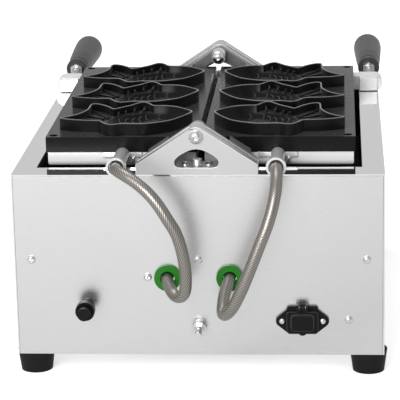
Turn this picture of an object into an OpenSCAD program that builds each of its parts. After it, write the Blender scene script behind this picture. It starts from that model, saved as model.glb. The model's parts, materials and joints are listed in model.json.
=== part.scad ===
// Fish waffle cooker: two cast plates with three fish moulds each turn like book leaves on one centre axis.
// X points right as seen from the rear panel, Y from the rear panel to the handles, Z up from the feet.
// Every module works from the rear panel's outer face, and in_frame() moves the result to the model's origin.

/* [Cabinet] */
// Width of the cabinet across its side walls
cabinet_width = 365; // [355:1:375]
// Depth of the cabinet from rear panel to front panel
cabinet_depth = 436; // [430:1:442]
// Height of the cabinet box without its feet
cabinet_height = 185; // [175:1:200]
// Thickness of the stainless sheet
sheet = 1.5; // [1.2:0.1:1.8]
// Gap between a panel and the folded sheet round it
panel_seam = 0.25; // [0.2:0.05:0.3]
// Depth of the folds behind the two panels
panel_fold = 10; // [8:1:11]
// Width of the cabinet top beside the opening
side_margin = 21.8; // [20:0.2:23]
// Length of the cabinet top in front of and behind the opening
end_margin = 28; // [27:0.5:29]
// Depth of the tray that hangs below the opening
well_depth = 62; // [50:1:75]
// Number of air slots in the base plate
air_slots = 8; // [4:1:10]

/* [Feet] */
// Height of a rubber foot
foot_height = 22; // [16:1:28]
// Diameter of a foot where it meets the cabinet
foot_top = 37.5; // [34:0.5:40]
// Diameter of a foot where it stands
foot_bottom = 31.5; // [28:0.5:34]
// Distance of a foot's centre from the cabinet's side
foot_side_inset = 15.3; // [14:0.1:18]
// Distance of a foot's centre from the cabinet's end
foot_end_inset = 20; // [18:0.5:26]

/* [Pivot] */
// Height of the pivot axis above the cabinet top
axis_rise = 37.7; // [37:0.1:39]
// Depth of a cast bracket
bracket_depth = 26; // [24:0.5:27]
// Width of a bracket at its base
bracket_width = 119; // [112:1:124]
// Height of a bracket's upright ends
bracket_end = 9.8; // [8:0.2:11]
// Radius of a bracket's rounded top
bracket_top_radius = 9.4; // [9:0.1:10.5]
// Width of the window in a bracket
window_width = 43; // [38:1:46]
// Height of the window in a bracket
window_height = 20; // [17:0.5:21]
// Height of the bracket's floor below its window
window_floor = 7; // [6:0.2:8]
// Diameter of the pivot bolts
bolt_size = 8; // [7:0.5:8.5]
// Diameter of a bolt's domed head
bolt_head = 13.2; // [12.5:0.1:14]
// Height of a bolt's domed head
bolt_head_height = 5.5; // [4.5:0.1:6.5]
// Thickness of a hinge arm
arm_thickness = 6.5; // [5.5:0.1:7]
// Radius of a hinge arm round the bolt
arm_knuckle_radius = 7.5; // [7:0.1:8]
// Reach of a hinge arm from the axis
arm_reach = 51; // [48:0.5:54]
// Width of a hinge arm's slanted bar
arm_bar = 10.5; // [9:0.1:11]
// Gap between pieces that turn past each other
turning_gap = 0.4; // [0.3:0.05:0.5]
// Radial gap between a bolt and a hinge arm
bolt_gap = 0.3; // [0.3:0.05:0.4]

/* [Plates] */
// Thickness of a casting without its moulds
casting = 15.5; // [14.5:0.1:17]
// Height of the mould walls above a casting
mould_wall = 12.4; // [11:0.1:13]
// Distance of the mould rims below the pivot axis
rim_drop = 0.5; // [0.4:0.1:1]
// Gap between the two castings
plate_gap = 5.6; // [5:0.1:6.5]
// Gap between a casting's outer side and the opening
plate_side_gap = 6.4; // [6:0.1:7]
// Gap between the castings and the opening's rear edge
plate_rear_gap = 25; // [24:0.1:26]
// Gap between the castings and the opening's front edge
plate_front_gap = 18; // [17.4:0.1:19]
// Height of a heater pan below its casting
pan_height = 14.8; // [13.5:0.1:16]
// Thickness of a heater pan's sheet
pan_sheet = 1.2; // [1:0.1:1.5]
// Radius of a heater pan's lower edges
pan_radius = 3; // [2.5:0.5:6]
// Radius of the heater pans' lower edges at their ends
pan_end_radius = 6; // [4:0.5:8]
// Distance of a pan's walls inside the casting's edge
pan_inset = 1.6; // [1:0.1:2.4]
// Diameter of the tube heater in a pan
heater_tube = 6.5; // [6:0.1:7.5]

/* [Fish moulds] */
// Number of fish in a casting, or as many as its length holds
fish_count = 3; // [2:1:3]
// Distance from one fish to the next
fish_pitch = 99; // [98:0.1:99.6]
// Distance across a fish from belly to fin
fish_width = 100.3; // [99.8:0.1:100.6]
// Distance from a casting's rear edge to the first belly
belly_margin = 2.4; // [2.2:0.1:3]
// Distance from a casting's inner edge to the noses
nose_margin = 8; // [7:0.1:9]
// Distance from a casting's outer edge to the tail tips
tail_margin = 10.3; // [9:0.1:12]
// Width of a mould's rim
rim_width = 1.4; // [1.2:0.1:1.8]
// Depth of a mould's body below its rim
bowl_depth = 20; // [17:0.5:21]
// Depth of the fins and the tail below the rim
fin_depth = 8; // [7:0.5:9]
// Height of the ribs in the fins and the tail
rib_height = 2; // [1.5:0.1:2.6]
// Width of the ribs in the fins and the tail
rib_width = 1.6; // [1.4:0.1:2]

/* [Handles] */
// Width of a cast handle lug across the cabinet
lug_width = 32.7; // [31:0.1:34]
// Length of a cast handle lug along the plate
lug_length = 32; // [28:0.5:36]
// Height of a cast handle lug
lug_height = 15.8; // [15:0.1:17]
// Distance from the lugs' rear faces to the castings' front edge
lug_place = 24; // [21:1:37]
// Gap under a lug that rests on the cabinet
lug_rest = 0.2; // [0.1:0.05:0.3]
// Diameter of the handle studs
stud_size = 8; // [7:0.5:9]
// Distance from a lug to its grip
grip_standoff = 51; // [47:0.5:56]
// Length of a grip
grip_length = 132; // [115:1:150]
// Diameter of a grip at its ring
grip_ring = 25; // [22:0.5:27]
// Diameter of a grip at its big end
grip_end = 33; // [29:0.5:36]

/* [Rear fittings] */
// Outside diameter of the sleeves that hold the conduits
sleeve_size = 14.4; // [14.2:0.1:15]
// Outside diameter of the bright sleeve rings
sleeve_ring = 19.6; // [18.5:0.1:19.8]
// Rise of the sleeves towards their rings in degrees
sleeve_tilt = 2.7; // [2.5:0.1:3]
// Outside diameter of the rubber grommets
grommet_size = 26.4; // [25:0.2:28]
// Diameter of the pan-head screws
screw_head = 8; // [7:0.5:9]
// Width of the mains inlet's flange
inlet_width = 52.4; // [50:0.2:54]
// Height of the mains inlet's flange
inlet_height = 27; // [26:0.2:28]
// Diameter of the reset button
reset_size = 12.8; // [12:0.2:13.4]
// Travel of the reset button
reset_travel = 3; // [2:0.5:3]
// Diameter of the earth stud
earth_size = 6; // [5:0.5:6]
// Length of the earth stud outside the panel
earth_length = 26; // [24:1:30]

/* [Operator side] */
// Diameter of the two knobs at their skirts
knob_size = 42; // [36:1:46]
// Height of the knobs
knob_height = 20; // [16:1:24]
// Distance of each knob from the centre line
knob_place = 95; // [85:1:105]
// Width of the rocker switch frame
switch_width = 25; // [23:0.5:27]
// Height of the rocker switch frame
switch_height = 31; // [29:0.5:33]
// Diameter of the indicator lamps
lamp_size = 11; // [9:0.5:13]

/* [Hidden] */
$fn = 48;
// Overrun of every cut past the face that it leaves
cut = 1;
// Shared small sizes
screw_gap = 0.1;
shank_share = 0.45;
head_share = 0.32;
slot_share = 0.14;
screw_length = 9;

// Heights and places that follow from the cabinet
half_width = cabinet_width / 2;
top_z = foot_height + cabinet_height;
axis_z = top_z + axis_rise;
opening_half = half_width - side_margin;
opening_rear = end_margin;
opening_front = cabinet_depth - end_margin;

// Castings and pans
plate_rear = opening_rear + plate_rear_gap;
plate_front = opening_front - plate_front_gap;
plate_in = plate_gap / 2;
plate_out = opening_half - plate_side_gap;
plate_width = plate_out - plate_in;
rim_z = axis_z - rim_drop;
plate_top = rim_z - mould_wall;
plate_bottom = plate_top - casting;
pan_bottom = plate_bottom - pan_height;
pan_rear = plate_rear + pan_inset;
pan_front = plate_front - pan_inset;

// Handles
lug_in = plate_out;
lug_out = lug_in + lug_width;
lug_rear = plate_front - lug_place;
lug_front = lug_rear + lug_length;
lug_bottom = top_z + lug_rest;
stud_x = lug_in + lug_width * 0.57;
stud_z = lug_bottom + lug_height * 0.62;
lug_web = 7;
lug_pad = 5;
lug_pad_inset = 5.5;
lug_pad_edge = 0.6;
lug_step = 3;
grip_rear = lug_front + grip_standoff;
grip_front = grip_rear + grip_length;
nut_height = stud_size * 0.8;
nut_radius = stud_size * 0.94;

// The model's origin is under the middle of the whole length, from the reset button to the grips
reset_neck = 17;
reset_ring_depth = 8;
reset_cap_front = 34;
row_shift = -(grip_front - reset_cap_front) / 2;

// Pivot
slant = slant_angle();
rear_slot = bracket_depth + turning_gap;
front_slot = cabinet_depth - bracket_depth - turning_gap;
arm_step = arm_thickness + turning_gap;
clip_thickness = 1.5;
spacer_radius = bolt_head * 0.6;
spacer_rear = plate_front - plate_front_gap * 0.67;

// Fish
fish_length = plate_width - nose_margin - tail_margin;
fish_rows = min(fish_count, floor((plate_front - plate_rear - belly_margin - fish_width) / fish_pitch) + 1);
// Points of a fish's outline from the tail tip along the belly, the nose and the back fin, as shares of its
// length from the nose and of its width from the belly
fish_shares = [
    [1.00, 0.30], [0.95, 0.25], [0.87, 0.208], [0.77, 0.182], [0.695, 0.175], [0.66, 0.10], [0.63, 0.035],
    [0.59, 0], [0.55, 0.012], [0.50, 0.04], [0.44, 0.034], [0.35, 0.03], [0.27, 0.067], [0.155, 0.165],
    [0.082, 0.31], [0.035, 0.43], [0.005, 0.515], [0.005, 0.585], [0.038, 0.645], [0.085, 0.72],
    [0.13, 0.78], [0.175, 0.815], [0.24, 0.838], [0.315, 0.845], [0.345, 0.91], [0.375, 0.972],
    [0.407, 1.00], [0.439, 0.974], [0.50, 0.85], [0.57, 0.755], [0.615, 0.695], [0.65, 0.77],
    [0.70, 0.86], [0.75, 0.918], [0.785, 0.932], [0.812, 0.90], [0.818, 0.78], [0.822, 0.66],
    [0.86, 0.51], [0.91, 0.41], [0.965, 0.34]
];
// Points of the bowl's edge, in the same shares
bowl_shares = [
    [0.66, 0.42], [0.655, 0.31], [0.625, 0.20], [0.57, 0.11], [0.50, 0.065], [0.42, 0.052], [0.34, 0.05],
    [0.265, 0.086], [0.20, 0.138], [0.147, 0.196], [0.105, 0.28], [0.067, 0.367], [0.037, 0.455],
    [0.016, 0.53], [0.02, 0.592], [0.052, 0.652], [0.086, 0.708], [0.128, 0.76], [0.175, 0.798],
    [0.24, 0.822], [0.312, 0.83], [0.39, 0.81], [0.46, 0.77], [0.53, 0.71], [0.59, 0.63], [0.635, 0.53]
];
// Size of each level of the bowl against its edge, and its depth as a share of the bowl's depth
bowl_level_shares = [[1, 0], [0.975, 0.3], [0.92, 0.55], [0.80, 0.78], [0.60, 0.93], [0.30, 1]];
bowl_centre_share = [0.34, 0.43];
fin_box_shares = [[0.32, 0.60, 0.61, 1.02], [0.60, 0.05, 1.05, 1.02], [0.50, -0.02, 0.70, 0.20]];
back_rib_shares = [0.40, 0.455, 0.51, 0.565];
back_rib_lift = 2;
tail_rib_angles = [-52, -30, -8, 14, 38, 60];
tail_root_share = [0.60, 0.43];
tail_rib_share = 0.42;
gill_share = 0.185;
gill_centre_share = [0.16, 0.50];
eye_share = [0.10, 0.62];
eye_size_share = 0.022;

// Sizes of the mould fixing screws
corner_inset = 7.2;
corner_hole = 8.6;
corner_depth = 9;

// Braided conduits and their sleeves, whose axis meets the pan's rear wall below the casting
conduit_size = 12;
sleeve_place = 77.5;
sleeve_drop = 2.5;
sleeve_z = plate_bottom - sleeve_drop;
sleeve_flange = [39, 3, 2 * sleeve_drop];
sleeve_stay = [2, 7, 8];
sleeve_stay_place = 11;
sleeve_reach = 66;
sleeve_ring_length = 7;
sleeve_bore_gap = 0.35;
sleeve_mouth_share = 0.76;

// Rear fittings, as shares of the cabinet's width from its middle and of its height from its bottom
rear_screw_shares = [[-0.453, 0.533], [0, 0.533], [0.453, 0.533], [-0.138, 0.436], [0.404, 0.197]];
front_screw_shares = [[-0.453, 0.92], [0, 0.92], [0.453, 0.92], [-0.453, 0.08], [0.453, 0.08]];
grommet_share = [0.084, 0.4335];
inlet_share = [0.279, 0.195];
reset_share = [-0.304, 0.283];
earth_share = [0, 0.157];
knob_height_share = 0.46;
switch_height_share = 0.46;
lamp_height_share = 0.74;

// Mains inlet, with the standard distance between its two screws
inlet_screw_pitch = 40;
inlet_flange = 3;
inlet_case = [27, 24, 20];
inlet_socket = [24, 16.5, 16.4];
inlet_pin = [2, 11.5, 4];
inlet_pin_spread = 7;
inlet_pin_rise = 3;
inlet_hinge_x = 6.2;
inlet_hinge_z = 15.5;
inlet_hinge_radius = 4;
inlet_hinge_y = inlet_flange + turning_gap + inlet_hinge_radius;
inlet_hinge_pin = 2.4;
inlet_shoulder = [31, 5.5];
inlet_shoulder_top = 15.5;
inlet_cover = [31, 2.5, 22.4];
inlet_cover_low = 11.9;
inlet_cover_top = inlet_cover[2] - inlet_cover_low;
inlet_boss = [22.4, 3, 16.5];
inlet_boss_low = 8.8;
inlet_corner = 3;
inlet_tab = 4.5;
inlet_tab_low = 14.4;
inlet_ear = 2.3;

// Reset button, as it stands out from the panel
reset_neck_radius = 6;
reset_nut_radius = 9.5;
reset_plunger = 6;
reset_body_size = [24, 16, 24];

// Route points of the two conduits, chosen by hand along the photographed loops
conduit_left_route = [
    [-77.5, 2, 216.2], [-77.5, -12, 216.9], [-75.5, -21, 217], [-67, -30, 214.5], [-55, -37, 208.5],
    [-43.5, -43, 200], [-34, -47, 189.5], [-25, -50, 176], [-17, -51, 162], [-11.5, -51, 143],
    [-9, -50, 122], [-10, -47, 104], [-15, -40, 95.5], [-21.5, -30, 93.5], [-26.5, -20, 96.5],
    [-29.7, -11, 100.6], [-30.7, -3, 102.2], [-30.7, 13, 102.2]
];
conduit_right_route = [
    [77.5, 2, 216.2], [77.5, -12, 216.9], [78.3, -22, 215], [78.5, -32, 209], [77.5, -40, 199],
    [74, -47, 183.5], [69, -51.5, 168], [63, -54, 153], [54, -56, 130], [44.5, -56, 107],
    [36.5, -53, 90], [29.5, -46, 80], [25.5, -37, 77.5], [25, -28, 83], [26.6, -19, 92],
    [29.2, -10.5, 99.6], [30.7, -3, 102.2], [30.7, 13, 102.2]
];
conduit_sides = 12;

// Functions for outlines

function unit(v) = v / norm(v);

function turned(v) = [v[1], -v[0]];

// Moves every side of a closed clockwise outline inwards by d
function inset(points, d) =
    let (n = len(points))
    [for (i = [0 : n - 1])
        let (a = turned(unit(points[i] - points[(i + n - 1) % n])))
        let (b = turned(unit(points[(i + 1) % n] - points[i])))
        points[i] + d * (a + b) / (1 + a * b)];

// A point half way along a side of a closed smooth outline
function closed_half(p, i) =
    let (n = len(p))
    (9 * (p[i] + p[(i + 1) % n]) - p[(i + n - 1) % n] - p[(i + 2) % n]) / 16;

function closed_smooth(p) = [for (i = [0 : len(p) - 1]) for (q = [p[i], closed_half(p, i)]) q];

// Angle of the line from a bracket's upright end to its rounded top
function slant_angle() =
    let (p = [bracket_width / 2, bracket_end - axis_rise])
    atan2(p[1], p[0]) + acos(bracket_top_radius / norm(p));

function on_circle(r, angle) = [r * cos(angle), r * sin(angle)];

// The point where a slanted line, r away from the axis, reaches the distance x from it
function slant_point(r, angle, x) = [x, (r - x * cos(angle)) / sin(angle)];

// The point where a slanted line, r away from the axis, reaches the height z against it
function slant_low(r, angle, z) = [(r - z * sin(angle)) / cos(angle), z];

// Smooth curve through a route's points, with one added point between each pair
function half_way(p, i) =
    (9 * (p[i] + p[i + 1]) - p[max(i - 1, 0)] - p[min(i + 2, len(p) - 1)]) / 16;

function smoothed(p) =
    [for (i = [0 : len(p) - 2]) for (q = [p[i], half_way(p, i)]) q, p[len(p) - 1]];

function direction(p, i) = unit(p[min(i + 1, len(p) - 1)] - p[max(i - 1, 0)]);

// Shared shapes

module in_frame() {
    translate([0, row_shift, 0]) children();
}

// A box between two corners
module span(low, high) {
    translate(low) cube(high - low);
}

// A box that is centred on x
module centred_x(width, low_y, high_y, low_z, high_z) {
    span([-width / 2, low_y, low_z], [width / 2, high_y, high_z]);
}

// A cylinder along Y from one place to another
module rod(x, z, radius, from_y, to_y) {
    translate([x, from_y, z]) rotate([-90, 0, 0]) cylinder(h = to_y - from_y, r = radius);
}

// A tapering cylinder along Y
module taper(x, z, from_radius, to_radius, from_y, to_y) {
    translate([x, from_y, z]) rotate([-90, 0, 0])
        cylinder(h = to_y - from_y, r1 = from_radius, r2 = to_radius);
}

// A flat outline in X and Z, made solid along Y
module slab(from_y, to_y) {
    translate([0, to_y, 0]) rotate([90, 0, 0]) linear_extrude(height = to_y - from_y) children();
}

module mirrored(side) {
    if (side < 0) mirror([1, 0, 0]) children();
    else children();
}

// Place on a panel from shares of the cabinet's width and height
module at_share(share) {
    translate([share[0] * cabinet_width, 0, foot_height + share[1] * cabinet_height]) children();
}

// Pan-head screw with a cross slot, whose head stands out against Y
module pan_screw(head, length) {
    slot = head * slot_share;
    tall = head * head_share;
    difference() {
        union() {
            intersection() {
                rod(0, 0, head / 2, -tall, 0);
                translate([0, head * 0.35, 0]) sphere(r = head * 0.7);
            }
            rod(0, 0, head * shank_share / 2, 0, length);
        }
        span([-head * 0.3, -tall - cut, -slot / 2], [head * 0.3, -tall * 0.45, slot / 2]);
        span([-slot / 2, -tall - cut, -head * 0.3], [slot / 2, -tall * 0.45, head * 0.3]);
    }
}

module screw_holes(shares, head) {
    for (place = shares)
        at_share(place) rod(0, 0, head * shank_share / 2 + screw_gap, -cut, panel_fold + cut);
}

// Cabinet

module cabinet_wrap() {
    color("gainsboro") in_frame() difference() {
        centred_x(cabinet_width, 0, cabinet_depth, foot_height, top_z);
        centred_x(cabinet_width - 2 * sheet, -cut, cabinet_depth + cut, foot_height - cut, top_z - sheet);
        centred_x(2 * opening_half, opening_rear, opening_front, top_z - sheet - cut, top_z + cut);
        bracket_screw_holes();
    }
}

// A panel sheet with folds along its sides and top, from y = 0 inwards
module folded_panel() {
    width = cabinet_width - 2 * sheet - 2 * panel_seam;
    top = top_z - sheet - panel_seam;
    difference() {
        centred_x(width, 0, panel_fold, foot_height, top);
        centred_x(width - 2 * sheet, sheet, panel_fold + cut, foot_height - cut, top - sheet);
    }
}

module rear_panel() {
    color("lightgray") in_frame() difference() {
        folded_panel();
        screw_holes(rear_screw_shares, screw_head);
        for (side = [-1, 1])
            at_share([side * grommet_share[0], grommet_share[1]]) rod(0, 0, grommet_waist, -cut, sheet + cut);
        at_share(inlet_share) {
            centred_x(inlet_case[0], -cut, sheet + cut, -inlet_case[2] / 2, inlet_case[2] / 2);
            inlet_screw_bores();
        }
        at_share(reset_share) rod(0, 0, reset_neck_radius, -cut, sheet + cut);
        at_share(earth_share) rod(0, 0, earth_size / 2, -cut, sheet + cut);
    }
}

module front_panel() {
    color("lightgray") in_frame() translate([0, cabinet_depth, 0]) mirror([0, 1, 0]) difference() {
        folded_panel();
        screw_holes(front_screw_shares, screw_head);
        for (side = [-1, 1]) {
            at_share([side * knob_place / cabinet_width, knob_height_share])
                rod(0, 0, control_neck, -cut, sheet + cut);
            at_share([side * knob_place / cabinet_width, lamp_height_share])
                rod(0, 0, lamp_size * 0.36, -cut, sheet + cut);
        }
        at_share([0, switch_height_share])
            centred_x(switch_width - 2 * switch_wall, -cut, sheet + cut,
                switch_wall - switch_height / 2, switch_height / 2 - switch_wall);
    }
}

module base_plate() {
    inner = cabinet_width - 2 * sheet;
    pitch = (cabinet_depth - 4 * foot_end_inset) / air_slots;
    color("silver") in_frame() difference() {
        union() {
            centred_x(inner, panel_fold, cabinet_depth - panel_fold, foot_height, foot_height + sheet);
            centred_x(inner - 2 * panel_seam - 2 * sheet, sheet, cabinet_depth - sheet,
                foot_height, foot_height + sheet);
        }
        for (i = [0 : air_slots - 1])
            translate([0, 2 * foot_end_inset + (i + 0.35) * pitch, 0])
                centred_x(inner * 0.45, 0, pitch * 0.3, foot_height - cut, foot_height + sheet + cut);
        foot_places() cylinder(h = foot_height + sheet + cut, r = foot_screw / 2 + screw_gap);
    }
}

module heater_well() {
    low = top_z - sheet - well_depth;
    color("silver") in_frame() difference() {
        centred_x(2 * opening_half + 2 * sheet, opening_rear - sheet, opening_front + sheet,
            low, top_z - sheet);
        centred_x(2 * opening_half, opening_rear, opening_front, low + sheet, top_z);
    }
}

module panel_screws() {
    color("silver") in_frame() {
        for (place = rear_screw_shares)
            at_share(place) pan_screw(screw_head, screw_length);
        translate([0, cabinet_depth, 0]) mirror([0, 1, 0])
            for (place = front_screw_shares)
                at_share(place) pan_screw(screw_head, screw_length);
        at_share(inlet_share)
            for (side = [-1, 1])
                translate([side * inlet_screw_pitch / 2, -inlet_flange, 0])
                    pan_screw(inlet_screw_head, screw_length);
    }
}

// Feet

foot_screw = 5;
foot_recess = 14;
foot_recess_depth = 9;

module foot_places() {
    for (x = [-1, 1])
        for (y = [foot_end_inset, cabinet_depth - foot_end_inset])
            translate([x * (half_width - foot_side_inset), y, 0]) children();
}

module foot(side, y) {
    color("dimgray") in_frame() translate([side * (half_width - foot_side_inset), y, 0]) difference() {
        cylinder(h = foot_height, d1 = foot_bottom, d2 = foot_top);
        translate([0, 0, -cut]) cylinder(h = foot_recess_depth + cut, d = foot_recess);
        cylinder(h = foot_height + cut, r = foot_screw / 2 + screw_gap);
    }
}

module foot_rear_left() {
    foot(-1, foot_end_inset);
}

module foot_rear_right() {
    foot(1, foot_end_inset);
}

module foot_front_left() {
    foot(-1, cabinet_depth - foot_end_inset);
}

module foot_front_right() {
    foot(1, cabinet_depth - foot_end_inset);
}

module foot_screws() {
    color("silver") in_frame() foot_places()
        translate([0, 0, foot_recess_depth]) rotate([90, 0, 0])
            pan_screw(foot_screw * 2, foot_height + sheet + 3 * foot_screw / 2 - foot_recess_depth);
}

// Pivot brackets and bolts

bracket_screw_place = 11.5;
bracket_screw_head = 8.4;
bracket_post = 4.8;
bracket_post_share = 0.45;
window_radius = 4.6;
window_steepness = 6;

module bracket_outline() {
    half = bracket_width / 2;
    tangent = on_circle(bracket_top_radius, slant);
    difference() {
        union() {
            translate([0, axis_z]) circle(r = bracket_top_radius);
            polygon([
                [-half, top_z], [half, top_z], [half, top_z + bracket_end],
                [tangent[0], axis_z + tangent[1]], [-tangent[0], axis_z + tangent[1]],
                [-half, top_z + bracket_end]
            ]);
        }
        window_outline();
    }
}

// Triangular window with rounded corners
module window_outline() {
    low = top_z + window_floor;
    side = window_width / 2 - window_radius;
    crown = window_height * 0.42;
    steep = slant + window_steepness;
    corner_left = [-side, low + window_radius];
    crown_centre = [0, low + window_height - crown];
    translate(corner_left) circle(r = window_radius);
    translate([side, low + window_radius]) circle(r = window_radius);
    translate(crown_centre) circle(r = crown);
    polygon([
        corner_left + [0, -window_radius],
        [side, low],
        [side, low + window_radius] + on_circle(window_radius, steep),
        crown_centre + on_circle(crown, steep),
        crown_centre + on_circle(crown, 180 - steep),
        corner_left + on_circle(window_radius, 180 - steep)
    ]);
}

module bracket(from_y) {
    color("silver") in_frame() difference() {
        union() {
            slab(from_y, from_y + bracket_depth) bracket_outline();
            translate([0, from_y + bracket_depth / 2, top_z])
                cylinder(h = window_floor + window_height * bracket_post_share, r = bracket_post);
        }
        rod(0, axis_z, bolt_size / 2, from_y - cut, from_y + bracket_depth + cut);
        bracket_screw_holes();
    }
}

module rear_pivot_bracket() {
    bracket(0);
}

module front_pivot_bracket() {
    bracket(cabinet_depth - bracket_depth);
}

module bracket_screw_places() {
    for (y = [bracket_depth / 2, cabinet_depth - bracket_depth / 2])
        for (side = [-1, 1])
            translate([side * bracket_screw_place, y, top_z + window_floor]) children();
}

module bracket_screw_holes() {
    reach = window_floor + sheet + 2 * cut;
    bracket_screw_places() translate([0, 0, cut - reach])
        cylinder(h = reach, r = bracket_screw_head * shank_share / 2 + screw_gap);
}

module bracket_screws() {
    color("silver") in_frame() bracket_screw_places()
        rotate([-90, 0, 0]) pan_screw(bracket_screw_head, window_floor + 3 * sheet);
}

// Domed head in front of y = 0, with a socket
module domed_head() {
    dome = bolt_head * 0.62;
    difference() {
        intersection() {
            rod(0, 0, bolt_head / 2, -bolt_head_height, 0);
            translate([0, dome - bolt_head_height, 0]) sphere(r = dome);
        }
        translate([0, -bolt_head_height - cut, 0]) rotate([-90, 0, 0])
            cylinder(h = bolt_head_height * 0.55 + cut, r = bolt_head * 0.2, $fn = 6);
    }
}

module rear_pivot_bolt() {
    end = rear_slot + 2 * arm_step + clip_thickness;
    color("silver") in_frame() translate([0, 0, axis_z]) {
        domed_head();
        rod(0, 0, bolt_size / 2, 0, end);
    }
}

module rear_pivot_clip() {
    from_y = rear_slot + 2 * arm_step;
    color("gray") in_frame() difference() {
        rod(0, axis_z, bolt_size * 0.69, from_y, from_y + clip_thickness);
        rod(0, axis_z, bolt_size / 2, from_y - cut, from_y + clip_thickness + cut);
    }
}

module front_pivot_bolt() {
    color("silver") in_frame() translate([0, spacer_rear, axis_z]) {
        domed_head();
        rod(0, 0, bolt_size / 2, 0, cabinet_depth - spacer_rear - sheet);
    }
}

module front_pivot_spacer() {
    to_y = front_slot - 2 * arm_step;
    color("silver") in_frame() difference() {
        rod(0, axis_z, spacer_radius, spacer_rear, to_y);
        rod(0, axis_z, bolt_size / 2, spacer_rear - cut, to_y + cut);
    }
}

// Conduits and grommets

conduit_waist_share = 0.83;
grommet_waist = grommet_size * conduit_waist_share / 2;
grommet_lip = 3.5;

// One tube swept along a route, as a single skin of triangles
module swept_tube(route) {
    path = smoothed(route);
    n = len(path);
    points = [for (i = [0 : n - 1])
        let (t = direction(path, i))
        let (a = unit(cross([1, 0, 0], t)))
        let (b = cross(t, a))
        for (k = [0 : conduit_sides - 1])
            let (angle = 360 * k / conduit_sides)
            path[i] + conduit_size / 2 * (cos(angle) * a + sin(angle) * b)];
    sides = [for (i = [0 : n - 2]) for (k = [0 : conduit_sides - 1])
        let (here = i * conduit_sides + k)
        let (next = i * conduit_sides + (k + 1) % conduit_sides)
        for (f = [[next, here, next + conduit_sides], [next + conduit_sides, here, here + conduit_sides]]) f];
    ends = [
        [for (k = [0 : conduit_sides - 1]) k],
        [for (k = [conduit_sides - 1 : -1 : 0]) (n - 1) * conduit_sides + k]
    ];
    polyhedron(points = points, faces = concat(sides, ends));
}

module conduit_left() {
    color("darkgray") in_frame() swept_tube(conduit_left_route);
}

module conduit_right() {
    color("darkgray") in_frame() swept_tube(conduit_right_route);
}

module grommet(side) {
    color("seagreen") in_frame() at_share([side * grommet_share[0], grommet_share[1]]) difference() {
        union() {
            rod(0, 0, grommet_size / 2, -grommet_lip, 0);
            rod(0, 0, grommet_waist, 0, sheet);
            rod(0, 0, grommet_size * 0.46, sheet, sheet + grommet_lip);
        }
        rod(0, 0, conduit_size * 0.59, -grommet_lip - cut, sheet + grommet_lip + cut);
    }
}

module grommet_left() {
    grommet(-1);
}

module grommet_right() {
    grommet(1);
}

// Mains inlet

inlet_screw_head = 5.6;

module inlet_screw_bores() {
    for (side = [-1, 1])
        rod(side * inlet_screw_pitch / 2, 0, inlet_screw_head * shank_share / 2 + screw_gap,
            -inlet_flange - cut, panel_fold);
}

module inlet_flange_outline() {
    tip = inlet_screw_head * 1.08;
    reach = inlet_width / 2 - tip;
    half = inlet_height / 2;
    waist = inlet_case[0] * 0.49;
    for (side = [-1, 1])
        translate([side * reach, 0]) circle(r = tip);
    polygon([
        [-waist, -half], [waist, -half], [reach + tip * 0.5, -tip * 0.87], [reach + tip * 0.5, tip * 0.87],
        [waist, half], [-waist, half], [-reach - tip * 0.5, tip * 0.87], [-reach - tip * 0.5, -tip * 0.87]
    ]);
}

// Outline with four equal round corners, centred on X
module rounded(width, low, high, r) {
    half = width / 2;
    for (x = [r - half, half - r])
        for (z = [low + r, high - r])
            translate([x, z]) circle(r = r);
    translate([r - half, low]) square([width - 2 * r, high - low]);
    translate([-half, low + r]) square([width, high - low - 2 * r]);
}

module inlet_body() {
    ear_in = inlet_hinge_x / 2 + turning_gap;
    ear_out = ear_in + inlet_ear;
    r = inlet_hinge_radius * 0.8;
    color("dimgray") in_frame() at_share(inlet_share) difference() {
        union() {
            slab(-inlet_flange, 0) {
                inlet_flange_outline();
                rounded(inlet_shoulder[0], inlet_shoulder_top - 2 * inlet_shoulder[1],
                    inlet_shoulder_top, inlet_shoulder[1] / 2);
            }
            centred_x(inlet_case[0], 0, inlet_case[1], -inlet_case[2] / 2, inlet_case[2] / 2);
            for (side = [-1, 1])
                mirrored(side) {
                    span([ear_in, -inlet_hinge_y, inlet_cover_top + turning_gap],
                        [ear_out, 0, inlet_hinge_z]);
                    span([ear_in, -inlet_hinge_y - r, inlet_hinge_z - r], [ear_out, 0, inlet_hinge_z + r]);
                }
        }
        centred_x(inlet_socket[0], -inlet_flange - cut, inlet_socket[1] - inlet_flange,
            -inlet_socket[2] / 2, inlet_socket[2] / 2);
        inlet_screw_bores();
        translate([-ear_out - cut, -inlet_hinge_y, inlet_hinge_z]) rotate([0, 90, 0])
            cylinder(h = 2 * ear_out + 2 * cut, r = inlet_hinge_pin / 2);
    }
}

module inlet_pins() {
    color("gold") in_frame() at_share(inlet_share)
        for (place = [[-inlet_pin_spread, 0], [0, inlet_pin_rise], [inlet_pin_spread, 0]])
            translate([place[0], inlet_socket[1] - inlet_flange - inlet_pin[1], place[1]])
                centred_x(inlet_pin[0], 0, inlet_pin[1], -inlet_pin[2] / 2, inlet_pin[2] / 2);
}

module inlet_hinge_pin() {
    reach = inlet_hinge_x / 2 + turning_gap + inlet_ear;
    color("silver") in_frame() at_share(inlet_share)
        translate([-reach, -inlet_hinge_y, inlet_hinge_z]) rotate([0, 90, 0])
            cylinder(h = 2 * reach, r = inlet_hinge_pin / 2);
}

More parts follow.
